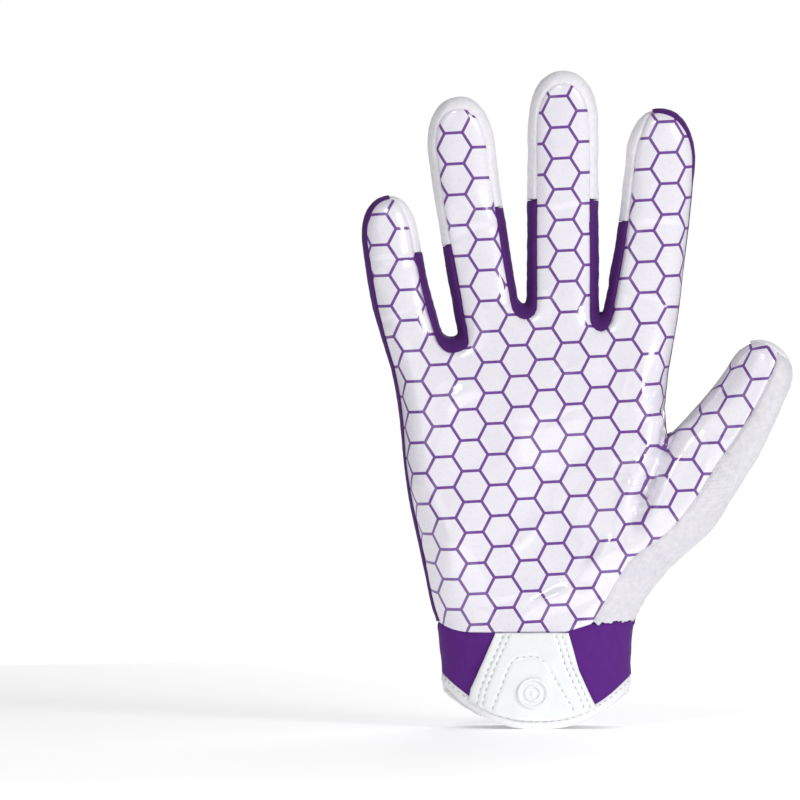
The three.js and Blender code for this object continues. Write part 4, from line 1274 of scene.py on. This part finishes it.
for k in range(3):
    left, right = FINGERS[k], FINGERS[k + 1]
    down = side_rows(left, 1, 0, GUSSET_ROWS[left, 1] - 1)
    up = side_rows(right, -1, 0, GUSSET_ROWS[right, -1] - 1)
    sides = [np.vstack([a[::-1], b[1:]]) for a, b in zip(down, up)]
    strip_piece(f"gusset_{left}_{right}", sides, gusset_knit, 0.12, 10 + k)

TIP_ROWS = 14
ONE_SIDED_TIP_ROWS = 13
END_SHARE = 0.35  # share of a fine row by which a band stops short of the gusset
for k, name in enumerate(FINGERS):
    if name in OUTER_SIDE:
        side = -OUTER_SIDE[name]
        sides = side_rows(name, side, GUSSET_ROWS[name, side] - 1, ONE_SIDED_TIP_ROWS)
    else:
        halves = [side_rows(name, side, GUSSET_ROWS[name, side] - 1, TIP_ROWS) for side in (-1, 1)]
        sides = [np.vstack([a, b[::-1][1:]]) for a, b in zip(*halves)]
        for edge in sides:
            edge[-1] = mix(edge[-1], edge[-2], END_SHARE)
    for edge in sides:
        edge[0] = mix(edge[0], edge[1], END_SHARE)
    strip_piece(f"tip_band_{name}", sides, tip_suede, 0.06, 20 + k)

# %% [markdown]
# Outer seams
#
# On the outside of the little and the index finger the front and the back panel meet directly. The
# back's knit is folded over there, so a purple edge shows from the front, wider at the fingertips.
# It is a wrapped strip again, along the outline, lying on both panels. A short white strip of the
# same kind closes the seam over the thumb's top.

# %% Outer seams
# Width in front of the outline for each row of the plain solid, and the row where the strip ends
SEAM_WIDTHS = {
    "pinky": [(0, 0.9), (4, 1.4), (8, 1.9), (11, 1.6), (12.5, 1.0), (15, 0.6)],
    "index": [(0, 0.25), (8.5, 0.3), (10, 1.3), (11, 1.9), (12.5, 1.9), (15, 1.5)],
}
SEAM_RISE = {"pinky": (0, 1), "index": (194, 203)}  # heights over which a seam gets its full lift
PALM_SEAM_WIDTH, BACK_SEAM_WIDTH = 0.7, 0.8
SEAM_LIFT = (0.12, 0.42)
OVER_THE_TOP = {"pinky": 10, "index": 17}  # fine rows beyond the top of the tip
THUMB_TIP_ROWS = 30  # fine rows on each side of the thumb's top
THUMB_SEAM_WIDTH = (0.3, 1.3)  # at its ends, and how much wider it is at the top
THUMB_SEAM_RISE = (129.5, 134)


def seam_strip(name, rim, inside, width, rise, finish):
    """A strip along the outline, lying on the panels in front and behind: as wide in front as
    width, a fixed width behind, lifted off the panels, following their slow relief and rolled in
    at both its edges."""
    front_line, back_line = moved(rim, inside, width), moved(rim, inside, BACK_SEAM_WIDTH)
    fall = rolled([*seam_line(front_line), *seam_line(back_line, front=0)], 0.3, 0.7)

    def relief(points):
        x, y, z = points.T
        lift = mix(*SEAM_LIFT, ease_over(z, rise))
        front = ease_over(y - middle_y(x, z), (2, -2))
        slow = mix(back_slow(points), palm_slow(points), front)
        return lift + fall(points) + slow + 0.06 * waves(points, 2.6, 41)
    make_piece(name, [wrapped(front_line, rim, back_line, 6, 5)], finish.material,
               wall=0.7, relief=relief)


for name, side in OUTER_SIDE.items():
    over = edges[name, -side][::-1][1:OVER_THE_TOP[name]]
    tip = np.vstack([edges[name, side], over])
    palm_part = little_rim if side < 0 else index_rim
    rim = np.vstack([palm_part, tip])
    inside = np.vstack([np.tile([0, 90], (len(palm_part), 1)),
                        np.tile(digit_point(name, np.array([0.55]), 0), (len(tip), 1))])
    place = np.arange(len(rim)) / ROWS - len(palm_part) / ROWS
    width = np.interp(place, *np.array([(-1, PALM_SEAM_WIDTH if side < 0 else 0.3),
                                        *SEAM_WIDTHS[name]]).T)
    seam_strip("outer_seam_" + name, rim, inside, width, SEAM_RISE[name], gusset_knit)

thumb_top = np.vstack([thumb_inner_rim[-THUMB_TIP_ROWS:],
                       thumb_outer_rim[::-1][1:THUMB_TIP_ROWS]])
share = np.linspace(0, 1, len(thumb_top))
inside = np.tile(digit_point("thumb", np.array([0.6]), 0), (len(thumb_top), 1))
end_width, more = THUMB_SEAM_WIDTH
seam_strip("thumb_top_seam", thumb_top, inside, end_width + more * ease(4 * share * (1 - share)),
           THUMB_SEAM_RISE, tip_suede)

# %% [markdown]
# Cuff
#
# The cuff is a band of foam-backed knit all round the wrist. Its points are placed by an angle round
# the wrist, which spaces them evenly over the front, the sides and the back. The white tape on its
# lower edge is a rounded profile carried along that edge.

# %% Cuff band
CUFF_ARCH, CUFF_ARCH_POWER = 15, 2.3
CUFF_BINDING_WIDTH = 3.8
BINDING_SINK = 0.55  # how far the tape's middle lies inside the cuff's surface
TAPE_HALF_THICKNESS = 0.95
CUFF_TUCK = 0.6
CUFF_ROWS = 30
CUFF_STEPS = 220


def cuff_x(degrees, z=20.0):
    """x on the cuff at an angle round it: the half width at that height times the sine."""
    heights, left, right = np.array(CUFF_SIDES, float).T
    a, b = np.interp(z, heights, left), np.interp(z, heights, right)
    return (a + b) / 2 + (b - a) / 2 * np.sin(np.radians(degrees))


def cuff_foot(x):
    """Height of the cuff's lower edge: it rises towards the sides with a power of x."""
    return CUFF_ARCH * np.abs(x / CUFF_HALF_WIDTH) ** CUFF_ARCH_POWER


def cuff_top(x, front):
    """Height of the cuff's upper edge, which is tucked under the panels."""
    front_seam, back_seam = np.array(WRIST_SEAM).T, np.array(BACK_WRIST_SEAM).T
    height = np.where(front, np.interp(x, *front_seam), np.interp(x, *back_seam))
    return height + CUFF_TUCK


angles = np.linspace(-180, 180, CUFF_STEPS + 1)
ring_x, ring_front = cuff_x(angles), np.abs(angles) <= 90
foot = cuff_foot(ring_x) + CUFF_BINDING_WIDTH + SEAM_GAP
ring_z = mix(foot[:, None], cuff_top(ring_x, ring_front)[:, None], evenly(CUFF_ROWS)[None])
ring_front = np.broadcast_to(ring_front[:, None], ring_z.shape)
cuff_points = lifted(cuff_x(angles[:, None], ring_z), ring_z, ring_front)
cuff_arc = walked(cuff_points[:, CUFF_ROWS // 2])
cuff_uv = np.stack(np.broadcast_arrays(cuff_arc[:, None], ring_z), 2)


def cuff_relief(points):
    """Foam-backed knit: slow waves, and faint level buckles where the wrist bends."""
    buckle = np.sin(points[:, 2] / 1.35 + 1.5 * waves(points, 30, 5)) * 0.06
    below_top = cuff_top(points[:, 0], points[:, 1] < 0) - points[:, 2]
    tuck = -0.9 * (1 - np.clip(below_top / 2.4, 0, 1)) ** 1.5
    return 0.3 * waves(points * (1, 1, 0.5), 14, 4) + buckle + tuck


cuff_grid = (cuff_points, cuff_points * (1, 1, 0), cuff_uv)
make_piece("cuff_band_skin", [cuff_grid], cuff_knit.material, ["cuff_band"],
           wall=1.3, relief=cuff_relief)


# %% Tape along a line
def tape_grid(centre, half_across, outward, half_thickness, closed=False, steps=24, power=2.6):
    """A rounded tape carried along a line. Its section is an ellipse of a higher power: along the
    half width the power of a cosine, and outwards the same power of a sine."""
    turn = np.linspace(0, 2 * np.pi, steps + 1)
    cos, sin = (np.sign(f) * np.abs(f) ** (2 / power) for f in (np.cos(turn), np.sin(turn)))
    outward = unit(outward)
    aside = half_across[:, None] * cos[:, None] + outward[:, None] * (half_thickness * sin)[:, None]
    points = centre[:, None] + aside
    points[:, -1] = points[:, 0]
    if closed:
        points[-1] = points[0]
    length = walked(centre)
    width = 2 * np.linalg.norm(half_across, axis=1)
    uv = np.stack(np.broadcast_arrays(length[:, None], width[:, None] * cos / 2), 2)
    return points, aside, uv


def capped(grid_parts):
    """A tape with both ends closed: a last row at each end draws in to the middle."""
    result = []
    for part in grid_parts:
        first, last = (np.broadcast_to(part[k].mean(0), (1, *part.shape[1:])) for k in (0, -1))
        result.append(np.concatenate([first, part, last]))
    points, aside, uv = result
    aside[0], aside[-1] = aside[1], aside[-2]
    uv[0], uv[-1] = uv[1], uv[-2]
    return points, aside, uv


edge_z = cuff_foot(cuff_x(angles)) + CUFF_BINDING_WIDTH / 2
edge_line = lifted(cuff_x(angles, edge_z), edge_z, np.abs(angles) <= 90)
run = np.gradient(edge_line, axis=0)
run[[0, -1]] = edge_line[1] - edge_line[-2]
edge_up = unit(np.cross(np.cross(run, (0, 0, 1)), run))
edge_out = np.cross(run, edge_up)
edge_out = unit(edge_out * np.sign((edge_out * edge_line * (1, 1, 0)).sum(1))[:, None])
binding_grid = tape_grid(edge_line - BINDING_SINK * edge_out, edge_up * CUFF_BINDING_WIDTH / 2,
                         edge_out, TAPE_HALF_THICKNESS, closed=True)
make_piece("cuff_binding_tape", [binding_grid], tape.material, ["cuff_binding"],
           relief=lambda points: 0.10 * waves(points, 4, 6))

# %% [markdown]
# Wrist tab and disc
#
# A moulded white tab sits on the cuff at the heel of the hand. It is a grid between two slanted
# sides, raised over the cuff, with grooves pressed in along its stitch lines. The disc on it is a
# turned shape: rings of height, as a function of the distance from its centre.


# %% Directions on the glove
def directions_at(x, z, front):
    """Outward directions of the filled glove: across two short steps, along x and along z."""
    step = 0.3
    across = lifted(x + step, z, front) - lifted(x - step, z, front)
    upwards = lifted(x, z + step, front) - lifted(x, z - step, front)
    out = np.cross(across, upwards)
    side = np.where(np.broadcast_to(front, out.shape[:-1]), -1, 1)[..., None]
    return unit(out * side * np.sign(out[..., 1:2]))


def raised(x, z, front, height):
    """Points at a height over the filled glove."""
    return lifted(x, z, front) + directions_at(x, z, front) * np.asarray(height)[..., None]


# %% Wrist tab
TAB_SIDES = np.array([(8.4, -24.5, 20.6), (13.5, -23.6, 18.4), (22, -20.4, 14.6),
                      (33.8, -15.2, 10.8)])
TAB_LIFT, TAB_THICKNESS = 1.5, 1.2
TAB_ARCH = [(-16.2, 6.6), (-14.6, 11), (-12.6, 16), (-10.6, 21.5), (-8.4, 24.9), (-4.5, 26),
            (-0.5, 25.9), (2.4, 24), (5, 20), (7.8, 15), (10.6, 10.2), (12.9, 6.3)]
TAB_TOP = TAB_SIDES[-1, 0] + 0.7
TAB_ROWS, TAB_COLUMNS = 90, 130
TAB_INSETS = [(-1, 3.2), (-1, 5.2), (1, 2.4), (1, 4.6)]  # side and inset of its straight seams
GROOVE_DEPTH, GROOVE_HALF_WIDTH = 0.3, 0.55
TAB_PAD = 0.25  # how much higher the field inside the arched seam is
TAB_EDGE_DROP, TAB_EDGE_WIDTH = 0.45, 1.1


def tab_line(side, inset):
    """Line parallel to a side of the tab, inset towards its middle."""
    z = np.linspace(7.0 if side > 0 else 8.2, TAB_TOP - 0.4, 60)
    x = np.interp(z, TAB_SIDES[:, 0], TAB_SIDES[:, 1 if side < 0 else 2]) - side * inset
    return np.stack([x, z], 1)


tab_lines = [tab_line(side, inset) for side, inset in TAB_INSETS]
tab_lines.append(along(TAB_ARCH, evenly(120)))
share = evenly(TAB_ROWS)[:, None]
level = mix(TAB_SIDES[0, 0], TAB_SIDES[-1, 0], share)
tab_x = mix(np.interp(level, *TAB_SIDES[:, [0, 1]].T), np.interp(level, *TAB_SIDES[:, [0, 2]].T),
            evenly(TAB_COLUMNS)[None])
tab_z = mix(cuff_foot(tab_x) + CUFF_BINDING_WIDTH - 0.9, TAB_TOP, share)
tab_flat = np.stack([tab_x.ravel(), tab_z.ravel()], 1)
groove = sum(np.exp(-((distance_to(line, tab_flat) / GROOVE_HALF_WIDTH) ** 2))
             for line in tab_lines)
arch_fill = np.exp(-((tab_flat[:, 0] + 1.8) / 9) ** 4) * ease_over(tab_flat[:, 1], (27.5, 23))
tab_edge = np.minimum.reduce([
    tab_x - tab_x[:, :1], tab_x[:, -1:] - tab_x, tab_z - tab_z[:1], TAB_TOP - tab_z]).ravel()
tab_height = (TAB_LIFT + TAB_PAD * arch_fill - GROOVE_DEPTH * np.minimum(groove, 1)
              - TAB_EDGE_DROP * (1 - np.clip(tab_edge / TAB_EDGE_WIDTH, 0, 1)) ** 2)
tab_points = raised(tab_x, tab_z, True, tab_height.reshape(tab_x.shape))
tab_uv = np.stack([tab_x, tab_z], 2)
make_piece("wrist_tab_skin", [(tab_points, out_of(tab_points, True), tab_uv)], tab_gloss.material,
           ["wrist_tab"], wall=TAB_THICKNESS,
           relief=lambda points: 0.12 * waves(points, 9, 7))

# %% Disc
DISC_X, DISC_Z, DISC_RADIUS = -1.8, 13, 5.8
DISC_RINGS = [(5.0, 0.62, 0.95), (2.6, 0.45, 0.85), (0, 1.1, 0.7)]  # radius, half width, height
radii = np.linspace(0, 1, 44)[:, None]
turns = np.linspace(0, 2 * np.pi, 97)[None]
disc_height = 0.25
for centre, width, height in DISC_RINGS:
    disc_height = disc_height + height * np.exp(-(((radii * DISC_RADIUS - centre) / width) ** 4))
disc_height = disc_height * ease((1 - radii) / 0.05) + TAB_LIFT + 0.1
disc_x = DISC_X + radii * DISC_RADIUS * np.cos(turns)
disc_z = DISC_Z + radii * DISC_RADIUS * np.sin(turns)
disc_points = raised(disc_x, disc_z, True, np.broadcast_to(disc_height, disc_x.shape))
disc_points[:, -1], disc_points[0] = disc_points[:, 0], disc_points[0, 0]
disc_uv = np.stack([disc_x, disc_z], 2)
make_piece("tab_disc_rings", [(disc_points, out_of(disc_points, True), disc_uv)],
           tab_gloss.material, ["tab_disc"], wall=0.5)

# %% [markdown]
# Strap
#
# The strap runs over the back of the cuff from its sewn end on the thumb's side to a round free
# end. Its field is a grid of columns with a middle height and a half height, which shrink to a
# rounded end. The white tape round it is the rounded profile again, carried along the outline.

# %% Strap
STRAP_EDGES = np.array([(-34, 8.6, 30, 3.2, 35.6), (14, 8.6, 30, 3.2, 35.8),
                        (24, 9.6, 31, 4.2, 37.4), (33, 12.4, 34.4, 7.6, 40.6)])
STRAP_FROM, STRAP_TO = 70, -38  # angles round the cuff, from the middle of the back
STRAP_REACH, BINDING_REACH, STRAP_POWER = 7.4, 11.8, 2.6
STRAP_LIFT, STRAP_THICKNESS = 2.6, 1.8
STRAP_COLUMNS = 44
STRAP_STITCH_ROWS = (25.6, 28.4)
STRAP_DROP, STRAP_TAPE = 1.2, 4.6  # below the cuff's edge at most, and width of the tape


def strap_columns(low_column, reach, straight=70, end=30):
    """x, middle height and half height of the strap's columns, from the sewn end to the free one.
    The round end is an ellipse of a higher power."""
    x = cuff_x(np.linspace(STRAP_FROM, STRAP_TO, straight + 1))
    low, high = (np.interp(x, STRAP_EDGES[:, 0], STRAP_EDGES[:, k])
                 for k in (low_column, low_column + 1))
    low = np.maximum(low, cuff_foot(x) - STRAP_DROP + (STRAP_TAPE if low_column == 1 else 0))
    middle, half = (low + high) / 2, (high - low) / 2
    turn = np.linspace(np.pi / 2, 0, end + 1)[1:]
    x = np.concatenate([x, x[-1] - reach * np.cos(turn) ** (2 / STRAP_POWER)])
    half = np.concatenate([half, half[-1] * np.sin(turn) ** (2 / STRAP_POWER)])
    return x, np.pad(middle, (0, end), "edge"), half


x, middle, half = strap_columns(1, STRAP_REACH)
spread = towards_both(STRAP_COLUMNS, 0.4) * 2 - 1
strap_z = middle[:, None] + half[:, None] * spread
strap_x = np.broadcast_to(x[:, None], strap_z.shape)
strap_points = raised(strap_x, strap_z, False, np.full(strap_z.shape, STRAP_LIFT - 0.1))
strap_arc = walked(strap_points[:, STRAP_COLUMNS // 2])
strap_uv = np.stack(np.broadcast_arrays(strap_arc[:, None], strap_z), 2)


def strap_relief(points):
    """Foam under the knit: slow waves, and grooves under the two upright stitch rows."""
    grooves = sum(np.exp(-(((points[:, 0] - x) / 0.6) ** 2)) for x in STRAP_STITCH_ROWS)
    return 0.3 * waves(points, 16, 8) - 0.25 * grooves


make_piece("closure_strap_skin", [(strap_points, out_of(strap_points, False), strap_uv)],
           strap_knit.material, ["closure_strap"], wall=STRAP_THICKNESS,
           relief=strap_relief)


# %% Strap binding
def strap_outline(low_column, reach):
    """The strap's outline as a line of plane points: lower edge, round end, upper edge."""
    x, middle, half = strap_columns(low_column, reach)
    low, high = np.stack([x, middle - half], 1), np.stack([x, middle + half], 1)
    low[:, 1] = np.maximum(low[:, 1], cuff_foot(low[:, 0]) - STRAP_DROP)
    return np.vstack([low, high[::-1][1:]])


inner_line, outer_line = strap_outline(1, STRAP_REACH), strap_outline(3, BINDING_REACH)


def binding_height(x):
    """Height of the tape's middle over the cuff: less at the wrist's sides, where it is taut."""
    return mix(2.0, 1.0, ease_over(np.abs(x), (25, 33)))


inner_points = raised(*inner_line.T, False, binding_height(inner_line[:, 0]))
outer_points = raised(*outer_line.T, False, binding_height(outer_line[:, 0]))
centre_line = (inner_points + outer_points) / 2
out = directions_at(*((inner_line + outer_line) / 2).T, False)
half_across = (outer_points - inner_points) / 2
binding_parts = capped(tape_grid(centre_line, half_across, out, 1.35))
make_piece("strap_binding_tape", [binding_parts], tape.material, ["strap_binding"],
           relief=lambda points: 0.12 * waves(points, 6, 9))

# %% Vent piping
VENT_PIPING = (3.0, 0.22, 0.43, 2.1)  # width, shares of the back seam, drop of the loop
width, vent_from, vent_turn, drop = VENT_PIPING
shares = np.linspace(vent_from, vent_turn, 7)
left, right = along(vent_edge(-1), shares), along(vent_edge(1), shares)
lower = drop * np.linspace(0, 1, 7) ** 2
left_line = left + np.stack([-width / 2 + 0 * lower, lower / 2], 1)
right_line = right + np.stack([width / 2 + 0 * lower, lower / 2], 1)
tip = (left[-1] + right[-1]) / 2 + (0.25, 0.6 + width / 2)
vent_line = along(np.vstack([left_line, tip, right_line[::-1]]), evenly(90))
vent_centre = raised(*vent_line.T, False, np.full(len(vent_line), 0.95))
vent_out = directions_at(*vent_line.T, False)
vent_run = np.gradient(vent_centre, axis=0)
vent_across = np.cross(vent_run, vent_out)
vent_across *= width / 2 / np.linalg.norm(vent_across, axis=1)[:, None]
make_piece("vent_piping", [capped(tape_grid(vent_centre, vent_across, vent_out,
                                        TAPE_HALF_THICKNESS))],
           tape.material, ["vent_binding"],
           relief=lambda points: 0.08 * waves(points, 4, 11))

# %% [markdown]
# Stitches
#
# A row of stitches is made from one small capsule that is repeated along a line. Each stitch lies
# on the cloth with its ends pulled in, so it is thickest in the middle, and it has only a few
# dozen faces, because there are several hundred.


# %% Stitches
def stitch_grids(line, outward, length=2.0, gap=0.7, radius=0.27, sink=0.5):
    """Small capsules along a line: the line is cut into equal lengths, each stitch's radius is
    a half circle's height over it, and its ends dip below the cloth by a share of the radius."""
    distance = walked(line)
    count = max(1, int(distance[-1] // (length + gap)))
    t = np.linspace(-1, 1, 7)
    place = (np.arange(count)[:, None] + 0.5) * distance[-1] / count + t * length / 2
    centre, up = (np.stack([np.interp(place, distance, values[:, k]) for k in range(3)], 2)
                  for values in (line, outward))
    up = unit(up)
    side = unit(np.cross(np.gradient(centre, axis=1), up))
    turn = np.linspace(0, 2 * np.pi, 7)
    thick = radius * np.sqrt((1 - t**4).clip(0))
    height = radius * (0.35 - sink * t**2)
    ring_up = up[:, :, None] * (np.sin(turn) * thick[:, None])[None, ..., None]
    ring_side = side[:, :, None] * (np.cos(turn) * thick[:, None])[None, ..., None]
    aside = ring_up + ring_side
    points = centre[:, :, None] + up[:, :, None] * height[None, :, None, None] + aside
    points[:, :, -1] = points[:, :, 0]
    uv = np.zeros(points.shape[1:3] + (2,))
    return [(points[k], aside[k] + 1e-6, uv) for k in range(count)]


def surface_stitches(line, front, height=0.0, **sizes):
    """Stitches along a line of plane points, at a height over the filled glove."""
    heights = np.full(len(line), float(height))
    points = raised(line[:, 0], line[:, 1], front, heights)
    return stitch_grids(points, directions_at(line[:, 0], line[:, 1], front), **sizes)


tab_stitches = [grid for line in tab_lines
                for grid in surface_stitches(line, True, TAB_LIFT - 0.25, length=1.5, gap=0.9,
                                             radius=0.25)]
make_piece("tab_stitches", tab_stitches, grey_thread.material)

# Dark thread beside the back seams of the gussets
gusset_thread = []
for (name, side), count in GUSSET_ROWS.items():
    edge = finger_edge(name, side, BACK)[:(count + 1) * ROWS]
    inside = moved(edge, edge - (side * 5, 0), 0.9)
    gusset_thread += surface_stitches(inside[4:], False, -0.05, length=1.5, gap=0.8, radius=0.2)
make_piece("gusset_stitches", gusset_thread, purple_thread.material)

strap_thread = []
for x_row in STRAP_STITCH_ROWS:
    z_row = np.linspace(11.5, 30.5, 40)
    line = np.stack([np.full(40, x_row), z_row], 1)
    strap_thread += surface_stitches(line, False, STRAP_LIFT - 0.15, length=1.7, gap=0.8,
                                     radius=0.24)
make_piece("strap_stitches", strap_thread, purple_thread.material)

tape_line = centre_line - half_across * 0.35 + out * 1.33
binding_thread = stitch_grids(tape_line, out, length=1.8, gap=1.0, radius=0.2)
make_piece("binding_stitches", binding_thread, white_thread.material)

tape_top = edge_line + edge_up * CUFF_BINDING_WIDTH * 0.22 + edge_out * 0.38
front_part = np.abs(angles) <= 80
cuff_thread = stitch_grids(tape_top[front_part], edge_out[front_part], length=1.5, gap=1.1,
                           radius=0.2)
make_piece("cuff_stitches", cuff_thread, grey_thread.material)

wrap_line = mix(thumb_behind, thumb_inner_rim, 0.22)[ROWS:-2 * ROWS]
wrap_thread = surface_stitches(wrap_line, False, 0.05, length=1.9, gap=0.9, radius=0.22)
make_piece("thumb_stitches", wrap_thread, white_thread.material)

# %% [markdown]
# Sheets of cloth
#
# For every panel and tape the size of its flat cut is worked out and printed. The length and width
# come from the unrolled places of each piece, and the area from its surface; knits are cut a tenth
# smaller, because they are worn stretched.

# %% Sheets of cloth
KNIT_STRETCH = 1.1


def declare(name, stretch=1.0):
    """Prints a piece's flat cut: its flat width and length are the extents of its unrolled places
    over the stretch, and its flat area is its surface over the stretch squared. A tape, which is
    closed all round, has half its surface on each side."""
    piece = bpy.data.objects[name]
    mesh = piece.data
    places = np.empty(len(mesh.loops) * 2, np.float32)
    mesh.uv_layers["cloth"].data.foreach_get("uv", places)
    places = places.reshape(-1, 2) * (MM / UV_SCALE)
    extent = sorted(places.max(0) - places.min(0)) / np.float64(stretch)
    areas = np.empty(len(mesh.polygons), np.float32)
    mesh.polygons.foreach_get("area", areas)
    area = float(areas.sum()) / stretch**2 / (1 if piece.modifiers else 2)
    width, length = max(float(extent[0]), 0.01), float(extent[1])
    if width * length < area:
        length = area / width
    area = min(max(area, 0.31 * width * length), width * length)
    print(f"{name}: cut {1000 * width:.0f} x {1000 * length:.0f} mm, {1e4 * area:.1f} square cm")


declare("palm_panel_skin")
declare("back_panel_skin", stretch=KNIT_STRETCH)
declare("thumb_panel_skin")
for k in range(3):
    declare(f"gusset_{FINGERS[k]}_{FINGERS[k + 1]}_skin", stretch=KNIT_STRETCH)
for name in FINGERS:
    declare(f"tip_band_{name}_skin")
declare("cuff_band_skin", stretch=KNIT_STRETCH)
declare("cuff_binding_tape")
declare("closure_strap_skin")
declare("strap_binding_tape")
declare("vent_piping")

# %% [markdown]
# Floor
#
# The glove stands on a plain pale floor. It is a round sheet, so that it has no corner in view, and
# it glows a little, so that it is nearly as white as the backing.

# %% Floor
FLOOR_RADIUS = 0.6
around = np.linspace(0, 2 * np.pi, 97)[:-1]
disc = np.stack([FLOOR_RADIUS * np.cos(around), FLOOR_RADIUS * np.sin(around), 0 * around], 1)
floor_mesh = bpy.data.meshes.new("floor")
floor_mesh.from_pydata(disc.tolist(), [], [list(range(len(disc)))])
floor = bpy.data.objects.new("floor", floor_mesh)
bpy.context.scene.collection.objects.link(floor)
pale = Finish("pale_floor", (0.93, 0.93, 0.94), 0.7, Emission_Color=(1, 1, 1, 1),
              Emission_Strength=0.37)
pale.bump((pale.noise(pale.place(), 40), 0.02))
floor_mesh.materials.append(pale.material)
floor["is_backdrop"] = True

# %% Gather the sizes of the frame and of the dressed glove
size = {"cad": [list(corner) for corner in cad_box], "dressed": [list(c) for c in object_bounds()]}
